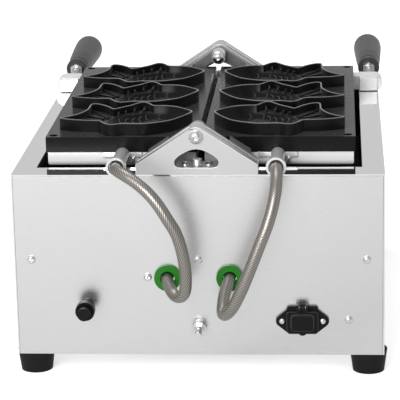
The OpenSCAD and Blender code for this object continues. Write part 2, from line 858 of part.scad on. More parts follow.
module inlet_cover() {
    face = -inlet_flange - turning_gap;
    top = inlet_cover_top;
    color("dimgray") in_frame() at_share(inlet_share) difference() {
        union() {
            slab(face - inlet_cover[1], face) {
                rounded(inlet_cover[0], -inlet_cover_low, top, inlet_corner);
                translate([0, inlet_tab - inlet_tab_low]) circle(r = inlet_tab);
            }
            slab(face - inlet_cover[1] - inlet_boss[1], face - inlet_cover[1])
                rounded(inlet_boss[0], -inlet_boss_low, inlet_boss[2] - inlet_boss_low, inlet_corner * 1.3);
            centred_x(inlet_hinge_x, face - inlet_cover[1], face, top, inlet_hinge_z);
            translate([-inlet_hinge_x / 2, -inlet_hinge_y, inlet_hinge_z]) rotate([0, 90, 0])
                cylinder(h = inlet_hinge_x, r = inlet_hinge_radius);
        }
        translate([-inlet_hinge_x, -inlet_hinge_y, inlet_hinge_z]) rotate([0, 90, 0])
            cylinder(h = 2 * inlet_hinge_x, r = inlet_hinge_pin / 2 + bolt_gap);
    }
}

// Reset button and earth stud

module reset_body() {
    color("dimgray") in_frame() at_share(reset_share) difference() {
        union() {
            rod(0, 0, reset_neck_radius, -reset_neck, sheet);
            centred_x(reset_body_size[0], sheet, sheet + reset_body_size[1],
                -reset_body_size[2] / 2, reset_body_size[2] / 2);
        }
        rod(0, 0, reset_plunger / 2 + bolt_gap, -reset_neck - cut, reset_body_size[1] / 2);
    }
}

module reset_nut() {
    rear = -reset_neck + cut;
    color("dimgray") in_frame() at_share(reset_share) difference() {
        rod(0, 0, reset_nut_radius, rear - reset_ring_depth, rear);
        rod(0, 0, reset_neck_radius, rear - cut, rear + cut);
        rod(0, 0, reset_size / 2 + turning_gap, rear - reset_ring_depth - cut, rear - cut);
    }
}

module reset_button() {
    rear = -reset_neck - reset_travel - bolt_gap;
    color("black") in_frame() at_share(reset_share) {
        rod(0, 0, reset_size / 2, -reset_cap_front, rear);
        rod(0, 0, reset_plunger / 2, rear, rear + reset_travel + reset_neck / 2);
    }
}

earth_nut = earth_size * 0.8;
earth_washer = earth_size * 0.2;
earth_stack = 2 * earth_nut + 4 * earth_washer;
// Inside its nuts the stud is drawn at the pitch size of the thread
earth_pitch_share = 0.9;
earth_relief = 0.6;

module earth_stud() {
    free = -earth_stack - earth_relief;
    color("silver") in_frame() at_share(earth_share) {
        rod(0, 0, earth_size / 2, -earth_length, free);
        rod(0, 0, earth_size * earth_pitch_share / 2, free - cut, screw_length);
    }
}

// A washer or nut on the earth stud, from one place outwards
module earth_ring(radius, bore, from_y, thickness, sides = 48) {
    difference() {
        translate([0, -from_y - thickness, 0]) rotate([-90, 0, 0])
            cylinder(h = thickness, r = radius, $fn = sides);
        rod(0, 0, bore, -from_y - thickness - cut, cut - from_y);
    }
}

module earth_nuts() {
    wide = earth_size * 1.2;
    hex = earth_size * 0.95;
    thread = earth_size * earth_pitch_share / 2;
    first = 2 * earth_washer + earth_nut;
    color("silver") in_frame() at_share(earth_share) {
        earth_ring(wide, earth_size / 2, 0, earth_washer);
        earth_ring(hex, thread, earth_washer, earth_nut, 6);
        earth_ring(wide, earth_size / 2, first - earth_washer, earth_washer);
        earth_ring(wide, earth_size / 2, first + earth_washer, earth_washer);
        earth_ring(hex, thread, first + 2 * earth_washer, earth_nut, 6);
    }
}

// Operator side

control_neck = 5;
control_shaft = 3;
control_case = 19;
control_depth = 24;
dial_thickness = 0.8;
dial_ticks = 11;
tick_size = [1, 0.4, 4];
knob_skirt = 4;
knob_bar = [5, 7];

// Turns a shape for the front panel, so that y = 0 is its face and it stands out against Y
module on_front(x, height_share) {
    translate([x, cabinet_depth, foot_height + height_share * cabinet_height]) mirror([0, 1, 0]) children();
}

module dial_plates() {
    color("white") in_frame()
        for (side = [-1, 1])
            on_front(side * knob_place, knob_height_share) difference() {
                union() {
                    rod(0, 0, knob_size * 0.72, -dial_thickness, 0);
                    for (i = [0 : dial_ticks - 1])
                        rotate([0, 150 - 300 * i / (dial_ticks - 1), 0])
                            translate([0, 0, knob_size * 0.55])
                                centred_x(tick_size[0], -dial_thickness - tick_size[1], 0, 0, tick_size[2]);
                }
                rod(0, 0, control_neck, -dial_thickness - cut, cut);
            }
}

module control_units() {
    color("gray") in_frame()
        for (side = [-1, 1])
            on_front(side * knob_place, knob_height_share) {
                rod(0, 0, control_case, sheet, sheet + control_depth);
                rod(0, 0, control_neck, -dial_thickness, sheet);
                rod(0, 0, control_shaft, -knob_height * 0.7, -dial_thickness);
            }
}

module knob(side) {
    rear = -dial_thickness - tick_size[1] - turning_gap;
    color("black") in_frame() on_front(side * knob_place, knob_height_share) difference() {
        union() {
            rod(0, 0, knob_size / 2, rear - knob_skirt, rear);
            taper(0, 0, knob_size * 0.38, knob_size * 0.42, -knob_height, rear);
            span([-knob_bar[0] / 2, -knob_height - knob_bar[1], -knob_size * 0.36],
                [knob_bar[0] / 2, rear, knob_size * 0.42]);
        }
        rod(0, 0, control_shaft + bolt_gap, -knob_height * 0.7 - turning_gap, rear + cut);
    }
}

module thermostat_knob() {
    knob(1);
}

module timer_knob() {
    knob(-1);
}

switch_wall = 2;
rocker_lean = 8;
rocker_size = [15, 10, 21];
rocker_pin = 1.6;
rocker_pin_reach = 9.6;

module switch_body() {
    deep = rocker_size[1] * 1.6;
    color("black") in_frame() on_front(0, switch_height_share) difference() {
        union() {
            centred_x(switch_width, -switch_wall, 0, -switch_height / 2, switch_height / 2);
            centred_x(switch_width - 2 * switch_wall, 0, deep,
                switch_wall - switch_height / 2, switch_height / 2 - switch_wall);
        }
        centred_x(rocker_size[0] + 2 * turning_gap, -switch_wall - cut, deep - switch_wall,
            -rocker_size[2] / 2 - switch_wall, rocker_size[2] / 2 + switch_wall);
        across(rocker_pin + bolt_gap, rocker_pin_reach + turning_gap);
    }
}

// A cylinder along X to the same distance on both sides
module across(radius, reach) {
    translate([-reach, 0, 0]) rotate([0, 90, 0]) cylinder(h = 2 * reach, r = radius);
}

module switch_rocker() {
    color("firebrick") in_frame() on_front(0, switch_height_share) {
        rotate([rocker_lean, 0, 0])
            centred_x(rocker_size[0], -rocker_size[1] * 0.45, rocker_size[1] * 0.55,
                -rocker_size[2] / 2, rocker_size[2] / 2);
        across(rocker_pin, rocker_pin_reach);
    }
}

module indicator_lamps() {
    color("orange") in_frame()
        for (side = [-1, 1])
            on_front(side * knob_place, lamp_height_share) {
                rod(0, 0, lamp_size / 2, -sheet, 0);
                rod(0, 0, lamp_size * 0.36, 0, 2 * lamp_size);
                intersection() {
                    sphere(r = lamp_size * 0.42);
                    centred_x(lamp_size, -lamp_size, -sheet, -lamp_size, lamp_size);
                }
            }
}

// Castings with the fish moulds

// A point from shares of the fish's length and width, with x away from the axis
function fish_point(share) = [nose_x + share[0] * fish_length, share[1] * fish_width];

nose_x = plate_in + nose_margin;

function fish_edge() = closed_smooth([for (s = fish_shares) fish_point(s)]);

module fish_outline() {
    polygon(fish_edge());
}

module fish_inner_outline() {
    polygon(inset(fish_edge(), rim_width));
}

// The smooth bowl of the body, as levels that close in on its lowest point
module fish_bowl() {
    edge = closed_smooth([for (s = bowl_shares) fish_point(s)]);
    n = len(edge);
    centre = fish_point(bowl_centre_share);
    levels = concat([[1, -cut / bowl_depth]], bowl_level_shares);
    last = len(levels) - 1;
    points = [for (level = levels) for (p = edge)
        let (q = centre + level[0] * (p - centre))
        [q[0], q[1], rim_z - level[1] * bowl_depth]];
    sides = [for (j = [0 : last - 1]) for (i = [0 : n - 1])
        let (a = j * n + i)
        let (b = j * n + (i + 1) % n)
        for (f = [[b, a, b + n], [b + n, a, a + n]]) f];
    top = [for (i = [0 : n - 1]) i];
    bottom = [for (i = [n - 1 : -1 : 0]) last * n + i];
    polyhedron(points = points, faces = concat(sides, [top, bottom]));
}

module fish_fins() {
    difference() {
        intersection() {
            translate([0, 0, rim_z - fin_depth]) linear_extrude(height = fin_depth + cut) fish_inner_outline();
            for (b = fin_box_shares)
                span([fish_point(b)[0], b[1] * fish_width, rim_z - fin_depth - cut],
                    [fish_point([b[2], 0])[0], b[3] * fish_width, rim_z + 2 * cut]);
        }
        fish_ribs();
    }
}

module fish_ribs() {
    low = rim_z - fin_depth - cut;
    high = rim_z - fin_depth + rib_height;
    for (share = back_rib_shares)
        translate([fish_point([share, 0])[0], 0.62 * fish_width, 0]) rotate([0, 0, (0.42 - share) * 120])
            span([-rib_width / 2, 0, low], [rib_width / 2, 0.45 * fish_width, high + back_rib_lift]);
    for (angle = tail_rib_angles)
        translate(concat(fish_point(tail_root_share), 0)) rotate([0, 0, angle])
            span([0.1 * fish_length, -rib_width / 2, low], [tail_rib_share * fish_length, rib_width / 2, high]);
}

// The raised gill line and eye at the bottom of the bowl
module fish_face() {
    floor_z = rim_z - bowl_depth;
    translate(concat(fish_point(gill_centre_share), floor_z + rib_width * 0.6))
        rotate([0, 0, -115]) rotate_extrude(angle = 115)
            translate([gill_share * fish_length, 0]) circle(r = rib_width * 0.7);
    translate(concat(fish_point(eye_share), floor_z + bowl_depth * 0.36))
        sphere(r = eye_size_share * fish_length);
}

module fish_cavity() {
    difference() {
        union() {
            fish_bowl();
            fish_fins();
        }
        fish_face();
    }
}

module mould_plate(side) {
    color("dimgray") in_frame() mirrored(side) difference() {
        union() {
            span([plate_in, plate_rear, plate_bottom], [plate_out, plate_front, plate_top]);
            for (i = [0 : fish_rows - 1])
                translate([0, plate_rear + belly_margin + i * fish_pitch, plate_top - cut])
                    linear_extrude(height = mould_wall + cut) fish_outline();
        }
        for (i = [0 : fish_rows - 1])
            translate([0, plate_rear + belly_margin + i * fish_pitch, 0]) fish_cavity();
        corner_places() {
            translate([0, 0, plate_top - corner_depth]) cylinder(h = corner_depth + cut, d = corner_hole);
            translate([0, 0, plate_bottom - cut])
                cylinder(h = casting, r = corner_hole * shank_share / 2 + screw_gap);
        }
    }
}

module corner_places() {
    for (x = [plate_in + corner_inset, plate_out - corner_inset])
        for (y = [plate_rear + corner_inset, plate_front - corner_inset])
            translate([x, y, 0]) children();
}

module plate_screws(side) {
    head = corner_hole - 3 * screw_gap;
    color("gray") in_frame() mirrored(side) corner_places() difference() {
        union() {
            translate([0, 0, plate_top - corner_depth]) cylinder(h = head / 2, d = head);
            translate([0, 0, plate_bottom])
                cylinder(h = casting - corner_depth, r = corner_hole * shank_share / 2);
        }
        translate([0, 0, plate_top - corner_depth + head / 4]) cylinder(h = head, r = head * 0.28, $fn = 6);
    }
}

// Pan profile in X and Z with rounded lower edges, d inside the outer skin
module pan_outline(d) {
    r = pan_radius - d;
    left = plate_in + pan_inset + d;
    right = plate_out - pan_inset - d;
    low = pan_bottom + d;
    intersection() {
        union() {
            translate([left + r, low + r]) circle(r = r);
            translate([right - r, low + r]) circle(r = r);
            translate([left + r, low]) square([right - left - 2 * r, plate_bottom - low]);
            translate([left, low + r]) square([right - left, plate_bottom - low - r]);
        }
        translate([left, low]) square([right - left, plate_bottom - low]);
    }
}

// The same along the pan's length, in Y and Z
module pan_side_outline(d) {
    r = pan_end_radius - d;
    rear = pan_rear + d;
    front = pan_front - d;
    low = pan_bottom + d;
    translate([rear + r, low + r]) circle(r = r);
    translate([front - r, low + r]) circle(r = r);
    translate([rear + r, low]) square([front - rear - 2 * r, plate_bottom - low]);
    translate([rear, low + r]) square([front - rear, plate_bottom - low - r]);
}

module pan_block(d) {
    intersection() {
        slab(pan_rear + d, pan_front - d) pan_outline(d);
        rotate([90, 0, 90]) linear_extrude(height = cabinet_width) pan_side_outline(d);
    }
}

module heater_pan(side) {
    color("silver") in_frame() mirrored(side) difference() {
        pan_block(0);
        difference() {
            pan_block(pan_sheet);
            span([0, pan_rear, plate_bottom - pan_sheet], [cabinet_width, pan_front, plate_bottom]);
        }
        rod(sleeve_place, sleeve_z - 2 * pan_sheet, conduit_size * 0.25,
            pan_rear - cut, pan_rear + pan_sheet + cut);
    }
}

// U-shaped tube heater pressed against the pan's cover
module heating_element(side) {
    r = heater_tube / 2;
    spread = plate_width * 0.24;
    centre = (plate_in + plate_out) / 2;
    z = plate_bottom - pan_sheet - r;
    bend_y = pan_front - pan_inset - spread - 4 * r;
    start_y = pan_rear + 5 * r;
    color("gray") in_frame() mirrored(side) {
        for (x = [centre - spread, centre + spread])
            rod(x, z, r, start_y, bend_y);
        translate([centre, bend_y, z]) rotate_extrude(angle = 180) translate([spread, 0]) circle(r = r);
    }
}

// Hinge arms, whose slanted bars run beside the brackets, a little below the top of their round knuckles

arm_shoulder = 0.4;
arm_top = arm_knuckle_radius - arm_shoulder;

module arm_outline() {
    low = plate_bottom - axis_z + lug_rest;
    near_low = slant_low(arm_top - arm_bar, slant, low);
    top = on_circle(arm_top, slant);
    bottom = on_circle(arm_top - arm_bar, slant);
    difference() {
        union() {
            circle(r = arm_knuckle_radius);
            polygon([
                top, slant_point(arm_top, slant, arm_reach), [arm_reach, low], near_low, bottom
            ]);
        }
        circle(r = bolt_size / 2 + bolt_gap);
    }
}

// The end of the arm that reaches the casting's end face
module arm_foot_outline() {
    low = plate_bottom - axis_z + lug_rest;
    near = arm_reach * 0.6;
    polygon([
        [near, low], [arm_reach, low], slant_point(arm_top, slant, arm_reach), slant_point(arm_top, slant, near)
    ]);
}

module hinge_arm(side, arm_y, foot_y) {
    color("silver") in_frame() mirrored(side) translate([0, 0, axis_z]) {
        slab(arm_y, arm_y + arm_thickness) {
            arm_outline();
            arm_foot_outline();
        }
        if (foot_y > arm_y) slab(arm_y + arm_thickness, foot_y) arm_foot_outline();
        else slab(foot_y, arm_y) arm_foot_outline();
    }
}

// The right plate's arms lie next to the brackets and the left plate's arms next to those
module rear_arm(side) {
    hinge_arm(side, rear_slot + (side > 0 ? 0 : arm_step), plate_rear);
}

module front_arm(side) {
    hinge_arm(side, front_slot - arm_thickness - (side > 0 ? 0 : arm_step), plate_front);
}

// Conduit sleeves

module conduit_sleeve(side) {
    ring = sleeve_reach - sleeve_ring_length;
    color("silver") in_frame() mirrored(side) difference() {
        translate([sleeve_place, pan_rear, sleeve_z]) {
            centred_x(sleeve_flange[0], -sleeve_flange[1], 0, -sleeve_flange[2] / 2, sleeve_flange[2] / 2);
            translate([side * sleeve_stay_place - sleeve_stay[0] / 2, 0, -sleeve_flange[2] / 2])
                rotate([90, 0, 90]) linear_extrude(height = sleeve_stay[0])
                    polygon([[0, 0], [0, -sleeve_stay[1]], [-sleeve_flange[1], -sleeve_stay[1]],
                        [-sleeve_stay[2], 0]]);
            rotate([-sleeve_tilt, 0, 0]) {
                rod(0, 0, sleeve_size / 2, -ring, -sleeve_flange[1] / 2);
                rod(0, 0, sleeve_ring / 2, -sleeve_reach, -ring);
            }
        }
        translate([sleeve_place, pan_rear, sleeve_z]) rotate([-sleeve_tilt, 0, 0]) {
            rod(0, 0, conduit_size / 2 + sleeve_bore_gap, -sleeve_reach - cut, -sleeve_flange[1] - sheet);
            rod(0, 0, sleeve_ring * sleeve_mouth_share / 2, -sleeve_reach - cut, -ring - sheet);
        }
        // Room for the casting, whose lower edge lies on the flange
        span([plate_in, plate_rear, plate_bottom], [plate_out, plate_front, plate_top]);
    }
}

// Handles

module handle_lug(side) {
    r = lug_height / 2;
    body_in = lug_in + lug_web;
    color("silver") in_frame() mirrored(side) difference() {
        union() {
            span([lug_in, lug_rear + lug_pad + lug_step, lug_bottom],
                [body_in + lug_step, lug_front - lug_step, lug_bottom + lug_height]);
            slab(lug_rear + lug_pad, lug_front) translate([body_in, lug_bottom]) {
                square([lug_out - body_in - r, lug_height]);
                translate([lug_out - body_in - r, r]) circle(r = r);
            }
            slab(lug_rear, lug_rear + lug_pad + lug_step)
                translate([body_in, lug_bottom + lug_pad_edge])
                    square([lug_out - body_in - lug_pad_inset, lug_height - 2 * lug_pad_edge]);
        }
        rod(stud_x, stud_z, stud_size / 2, lug_rear + lug_length * 0.3, lug_front + cut);
    }
}

module handle_stud(side) {
    color("silver") in_frame() mirrored(side)
        rod(stud_x, stud_z, stud_size / 2, lug_rear + lug_length * 0.3, grip_rear + grip_length * 0.2);
}

module handle_nut(side) {
    color("silver") in_frame() mirrored(side) difference() {
        translate([stud_x, grip_rear - nut_height, stud_z]) rotate([-90, 30, 0])
            cylinder(h = nut_height, r = nut_radius, $fn = 6);
        rod(stud_x, stud_z, stud_size / 2, grip_rear - nut_height - cut, grip_rear + cut);
    }
}

// Half profile of a grip as shares of its ring, its big end and its length
module grip_profile() {
    ring = grip_ring / 2;
    big = grip_end / 2;
    l = grip_length;
    polygon([
        [0, 0], [ring * 0.94, 0], [ring, 0.008 * l], [ring, 0.045 * l], [ring * 0.92, 0.053 * l],
        [ring * 0.80, 0.06 * l], [ring * 0.80, 0.085 * l], [ring * 0.95, 0.12 * l], [big * 0.84, 0.30 * l],
        [big * 0.95, 0.65 * l], [big, 0.86 * l], [big * 0.985, 0.93 * l], [big * 0.90, 0.975 * l],
        [big * 0.70, l], [0, l]
    ]);
}

module handle_grip(side) {
    color("dimgray") in_frame() mirrored(side) difference() {
        translate([stud_x, grip_rear, stud_z]) rotate([-90, 0, 0]) rotate_extrude() grip_profile();
        rod(stud_x, stud_z, stud_size / 2, grip_rear - cut, grip_rear + grip_length * 0.2);
    }
}

// Left plate

module left_mould_plate() {
    mould_plate(-1);
}

module left_heater_pan() {
    heater_pan(-1);
}

module left_heating_element() {
    heating_element(-1);
}

module left_rear_arm() {
    rear_arm(-1);
}

module left_front_arm() {
    front_arm(-1);
}

module left_plate_screws() {
    plate_screws(-1);
}

module left_conduit_sleeve() {
    conduit_sleeve(-1);
}

module left_handle_lug() {
    handle_lug(-1);
}

module left_handle_stud() {
    handle_stud(-1);
}

module left_handle_nut() {
    handle_nut(-1);
}

module left_handle_grip() {
    handle_grip(-1);
}

// Right plate

module right_mould_plate() {
    mould_plate(1);
}

module right_heater_pan() {
    heater_pan(1);
}

module right_heating_element() {
    heating_element(1);
}

module right_rear_arm() {
    rear_arm(1);
}

module right_front_arm() {
    front_arm(1);
}

module right_plate_screws() {
    plate_screws(1);
}

module right_conduit_sleeve() {
    conduit_sleeve(1);
}

module right_handle_lug() {
    handle_lug(1);
}

module right_handle_stud() {
    handle_stud(1);
}

module right_handle_nut() {
    handle_nut(1);
}

module right_handle_grip() {
    handle_grip(1);
}

cabinet_wrap();
rear_panel();
front_panel();
base_plate();
heater_well();
panel_screws();
foot_rear_left();
foot_rear_right();
foot_front_left();
foot_front_right();
foot_screws();
rear_pivot_bracket();
front_pivot_bracket();
bracket_screws();
rear_pivot_bolt();
front_pivot_bolt();
rear_pivot_clip();
front_pivot_spacer();
conduit_left();
conduit_right();
grommet_left();
grommet_right();
inlet_body();
inlet_pins();
inlet_hinge_pin();
inlet_cover();
reset_body();
reset_nut();
reset_button();
earth_stud();
earth_nuts();
dial_plates();
thermostat_knob();
timer_knob();
control_units();
switch_body();
switch_rocker();
indicator_lamps();
left_mould_plate();
left_heater_pan();
left_heating_element();
left_rear_arm();
left_front_arm();
left_plate_screws();
left_conduit_sleeve();
left_handle_lug();
left_handle_stud();
left_handle_nut();
left_handle_grip();
right_mould_plate();
right_heater_pan();
right_heating_element();
right_rear_arm();
right_front_arm();
right_plate_screws();
right_conduit_sleeve();
right_handle_lug();
right_handle_stud();
right_handle_nut();
right_handle_grip();
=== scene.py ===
# %% [markdown]
# # Dressing a fish waffle cooker
# The cooker has a stainless cabinet and two black cast plates, which turn like the leaves of a book.
# The solids come from the imported model, in metres, and every piece made here except the conduits rides on one of its
# bodies.
# The camera and the studio come first, then the finishes, and then the pieces that the solids leave plain or leave out.

# %% Load the imported frame
import json
import math

import bmesh
import bpy
from mathutils import Matrix, Vector
from mathutils.bvhtree import BVHTree
from mathutils.geometry import tessellate_polygon


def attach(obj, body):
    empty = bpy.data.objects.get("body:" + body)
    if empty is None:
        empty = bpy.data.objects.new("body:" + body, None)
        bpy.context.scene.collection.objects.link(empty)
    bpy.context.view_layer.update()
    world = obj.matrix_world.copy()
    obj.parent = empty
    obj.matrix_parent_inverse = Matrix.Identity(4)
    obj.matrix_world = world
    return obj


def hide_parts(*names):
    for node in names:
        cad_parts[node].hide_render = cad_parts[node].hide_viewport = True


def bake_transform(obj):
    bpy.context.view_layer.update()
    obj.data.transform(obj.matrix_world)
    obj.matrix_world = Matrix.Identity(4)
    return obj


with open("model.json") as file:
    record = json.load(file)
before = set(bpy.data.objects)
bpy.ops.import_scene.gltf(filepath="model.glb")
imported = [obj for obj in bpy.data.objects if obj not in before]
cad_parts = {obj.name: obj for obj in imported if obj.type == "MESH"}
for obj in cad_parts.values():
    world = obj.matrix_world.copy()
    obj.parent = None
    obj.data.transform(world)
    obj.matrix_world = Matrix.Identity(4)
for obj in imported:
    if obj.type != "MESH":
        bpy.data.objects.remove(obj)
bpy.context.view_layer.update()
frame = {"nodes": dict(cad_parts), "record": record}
nodes = frame["nodes"]
body_of = {node: body for body, names in frame["record"]["behaviour"]["bodies"].items() for node in names}

# %% [markdown]
# ## One way to say where things are
# The part's drawing measures in millimetres: x to the right, s from the rear panel's outer face, and z up.
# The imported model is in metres, with its origin under the middle of the cooker's length.
# One small function turns a drawing place into a model place, so the numbers below can be read on the drawing.

# %% Places of the drawing in the model
MM = 0.001
ROW_SHIFT = -273.5


def spot(x, s, z):
    """A place of the drawing, in metres in the model's frame."""
    return Vector((x, s + ROW_SHIFT, z)) * MM


print("rear panel's foot:", tuple(round(v, 4) for v in spot(0, 0, 22)))

# %% [markdown]
# ## The camera
# A long lens far away keeps the cabinet's edges almost parallel, as in the photograph.
# The place, the angles and the lens were fitted to the corners of the panel, the top and the plates.
# The frame is turned by hand from three angles, because a tracked camera could not hold the slight roll.

# %% Make the camera
CAMERA_PLACE = spot(138.1, -1882.4, 711.1)
# Degrees: to the right, downwards, and about the view's own direction
CAMERA_YAW, CAMERA_PITCH, CAMERA_ROLL = -4.11, 15.676, 1.191
IMAGE_WIDTH, FOCAL_PIXELS = 400, 2012
SENSOR_WIDTH = 36
FAR_LIMIT = 50


def camera_axes(yaw, pitch, roll):
    """The image's right, up and backward directions from three angles in degrees."""
    yaw, pitch, roll = (math.radians(a) for a in (yaw, pitch, roll))
    forward = Vector((math.sin(yaw) * math.cos(pitch), math.cos(yaw) * math.cos(pitch), -math.sin(pitch)))
    side = Vector((math.cos(yaw), -math.sin(yaw), 0))
    down = forward.cross(side)
    right = math.cos(roll) * side + math.sin(roll) * down
    up = math.sin(roll) * side - math.cos(roll) * down
    return right, up, -forward


camera_data = bpy.data.cameras.new("camera")
camera_data.sensor_width = SENSOR_WIDTH
camera_data.lens = FOCAL_PIXELS * SENSOR_WIDTH / IMAGE_WIDTH
camera_data.clip_end = FAR_LIMIT
camera = bpy.data.objects.new("camera", camera_data)
bpy.context.scene.collection.objects.link(camera)
turn = Matrix(camera_axes(CAMERA_YAW, CAMERA_PITCH, CAMERA_ROLL)).transposed()
camera.matrix_world = Matrix.Translation(CAMERA_PLACE) @ turn.to_4x4()
bpy.context.scene.camera = camera
print("lens:", round(camera_data.lens, 1), "mm")

# %% [markdown]
# ## Floor, world and lamps
# Polished steel shows whatever stands around it, so the surroundings matter as much as the lamps.
# The floor and the world are white for the camera, pale in reflections, and a middle grey for scattered light,
# which keeps the underside of the cooker from glowing.
# A photographer also stands a dark card beside the lens, so that round metal gets a dark line along it.
# Here the card is a dark band in what reflections see, at one direction round the cooker, and weaker on the floor.
# A picture of a studio could do the same, but a short list of greys is easier to read and to change.

# %% Say what each kind of ray sees


def grey(level, blue=0):
    """An even grey, or one with a little more or less blue."""
    return level, level, level + blue


def link_nodes(tree, *pairs):
    """Joins output and input sockets two by two."""
    for output, target in pairs:
        tree.links.new(output, target)


def seen_directly(tree, path):
    """A factor that is 1 for camera, glossy and transmission rays."""
    first = tree.nodes.new("ShaderNodeMath")
    second = tree.nodes.new("ShaderNodeMath")
    first.operation = second.operation = "MAXIMUM"
    link_nodes(
        tree,
        (path.outputs["Is Camera Ray"], first.inputs[0]),
        (path.outputs["Is Glossy Ray"], first.inputs[1]),
        (first.outputs[0], second.inputs[0]),
        (path.outputs["Is Transmission Ray"], second.inputs[1]),
    )
    return second.outputs[0]


def mixed(tree, factor, low, high, blend="MIX"):
    """Two colours together, each a socket or three numbers."""
    mix = tree.nodes.new("ShaderNodeMix")
    mix.data_type, mix.blend_type = "RGBA", blend
    for index, value in ((0, factor), (6, low), (7, high)):
        if hasattr(value, "is_output"):
            tree.links.new(value, mix.inputs[index])
        else:
            mix.inputs[index].default_value = (*value, 1) if index else value
    return mix.outputs[2]


print("a cool grey:", grey(0.5, 0.01))

# %% Stand a dark card in the reflections
# Direction round the cooker, as a share of a turn from the view's left past the camera, and its lightness there
CARD = (
    (0.00, 0.62), (0.06, 0.95), (0.24, 0.95), (0.31, 0.84), (0.335, 0.40), (0.375, 0.36), (0.41, 0.80), (0.49, 0.72),
    (0.56, 0.66), (0.66, 0.68), (0.86, 0.68), (0.97, 0.55),
)
FLOOR_CARD = ((0.00, 1.0), (0.24, 1.0), (0.32, 0.95), (0.36, 0.84), (0.42, 0.94), (0.60, 0.96))


def card_light(tree, coordinate, centre, card):
    """How light the surroundings are in reflections, by the direction round a centre."""
    coordinates = tree.nodes.new("ShaderNodeTexCoord")
    mapping = tree.nodes.new("ShaderNodeMapping")
    mapping.inputs["Location"].default_value = -Vector(centre)
    gradient = tree.nodes.new("ShaderNodeTexGradient")
    gradient.gradient_type = "RADIAL"
    ramp = tree.nodes.new("ShaderNodeValToRGB")
    for place, value in card:
        stop = ramp.color_ramp.elements.new(place)
        stop.color = (value, value, value, 1)
    ramp.color_ramp.elements.remove(ramp.color_ramp.elements[0])
    link_nodes(
        tree,
        (coordinates.outputs[coordinate], mapping.inputs["Vector"]),
        (mapping.outputs["Vector"], gradient.inputs["Vector"]),
        (gradient.outputs["Fac"], ramp.inputs["Fac"]),
    )
    return ramp.outputs["Color"]


def ray_color(tree, scattered, camera_grey, mirror_grey, card):
    """One grey for scattered light, one for the camera, and one for reflections, which the card darkens."""
    path = tree.nodes.new("ShaderNodeLightPath")
    dimmed = mixed(tree, 1, grey(mirror_grey), card, "MULTIPLY")
    straight = mixed(tree, path.outputs["Is Camera Ray"], dimmed, grey(camera_grey))
    return mixed(tree, seen_directly(tree, path), grey(scattered), straight)


print("directions in the card:", len(CARD))

# %% Make the floor and the world
FLOOR_SIZE = 14
FLOOR_ROUGHNESS = 0.9
# What the directions are measured from, on the floor and in the world
FLOOR_CENTRE, WORLD_CENTRE = (0, -0.27, 0), (0, 0, 0)
# Greys for scattered light, for the camera and in reflections. The glow adds to the lamps, but lights nothing.
FLOOR_PAINT, FLOOR_GLOW, WORLD_GREYS = (0.62, 0.95, 0.45), (0, 0.5, 0.5), (0.55, 1, 1)

bpy.ops.mesh.primitive_plane_add(size=FLOOR_SIZE)
floor = bpy.context.object
floor.name = "floor"
floor_paint = bpy.data.materials.new("floor_paint")
floor_paint.use_nodes = True
floor_tree = floor_paint.node_tree
floor_shader = floor_tree.nodes["Principled BSDF"]
floor_shader.inputs["Roughness"].default_value = FLOOR_ROUGHNESS
floor_shader.inputs["Specular IOR Level"].default_value = 0
floor_card = card_light(floor_tree, "Object", FLOOR_CENTRE, FLOOR_CARD)
link_nodes(
    floor_tree,
    (ray_color(floor_tree, *FLOOR_PAINT, floor_card), floor_shader.inputs["Base Color"]),
    (ray_color(floor_tree, *FLOOR_GLOW, floor_card), floor_shader.inputs["Emission Color"]),
)
floor_shader.inputs["Emission Strength"].default_value = 1
floor.data.materials.append(floor_paint)

world = bpy.data.worlds.new("studio")
bpy.context.scene.world = world
world.use_nodes = True
world_tree = world.node_tree
world_card = card_light(world_tree, "Generated", WORLD_CENTRE, CARD)
link_nodes(
    world_tree,
    (ray_color(world_tree, *WORLD_GREYS, world_card), world_tree.nodes["Background"].inputs["Color"]),
)
bpy.context.scene.view_settings.view_transform = "Standard"
print("floor:", FLOOR_SIZE, "m")

# %% Hang two soft lamps
# Name, place, what it points at, width in metres, and power in watts
LAMPS = (
    ("top_softbox", (-0.3, 0.2, 2.6), (0, 0, 0.1), 1.1, 15),
    ("front_softbox", (-0.7, -2.4, 1.15), (0, 0, 0.15), 1.3, 42),
)
for lamp_name, place, target, width, power in LAMPS:
    light = bpy.data.lights.new(lamp_name, "AREA")
    light.size = width
    light.energy = power
    lamp = bpy.data.objects.new(lamp_name, light)
    bpy.context.scene.collection.objects.link(lamp)
    lamp.location = place
    lamp.rotation_euler = (Vector(target) - Vector(place)).to_track_quat("-Z", "Y").to_euler()
print("lamps:", len(LAMPS))

# %% [markdown]
# ## Finishes: one recipe, many metals and plastics
# A finish here is a cloudy base colour, a roughness that varies and a fine bump. One fine noise drives the last two.
# Stretching the noise along one direction turns it into brushing; leaving it round gives cast skin or moulded plastic.
# The noise reads Object coordinates, so it stays on the piece when a plate turns.
# A small Bevel on the normal makes the solids' sharp edges look round, as pressed metal is, and costs no faces.
# Pictures of real metal could be wrapped on instead, but then every solid would need its own flat pattern.

# %% Lay a grain over a piece
MICRON = 0.001 * MM
NOISE_DETAIL = 3
NOISE_MIDDLE = (0.3, 0.7)


def new_material(name, color, metallic, roughness, gloss):
    """A material and its shader, with the values that are the same all over."""
    material = bpy.data.materials.new(name)
    material.use_nodes = True
    shader = material.node_tree.nodes["Principled BSDF"]
    shader.inputs["Base Color"].default_value = (*color, 1)
    shader.inputs["Metallic"].default_value = metallic
    shader.inputs["Roughness"].default_value = roughness
    shader.inputs["Specular IOR Level"].default_value = gloss
    return material, shader


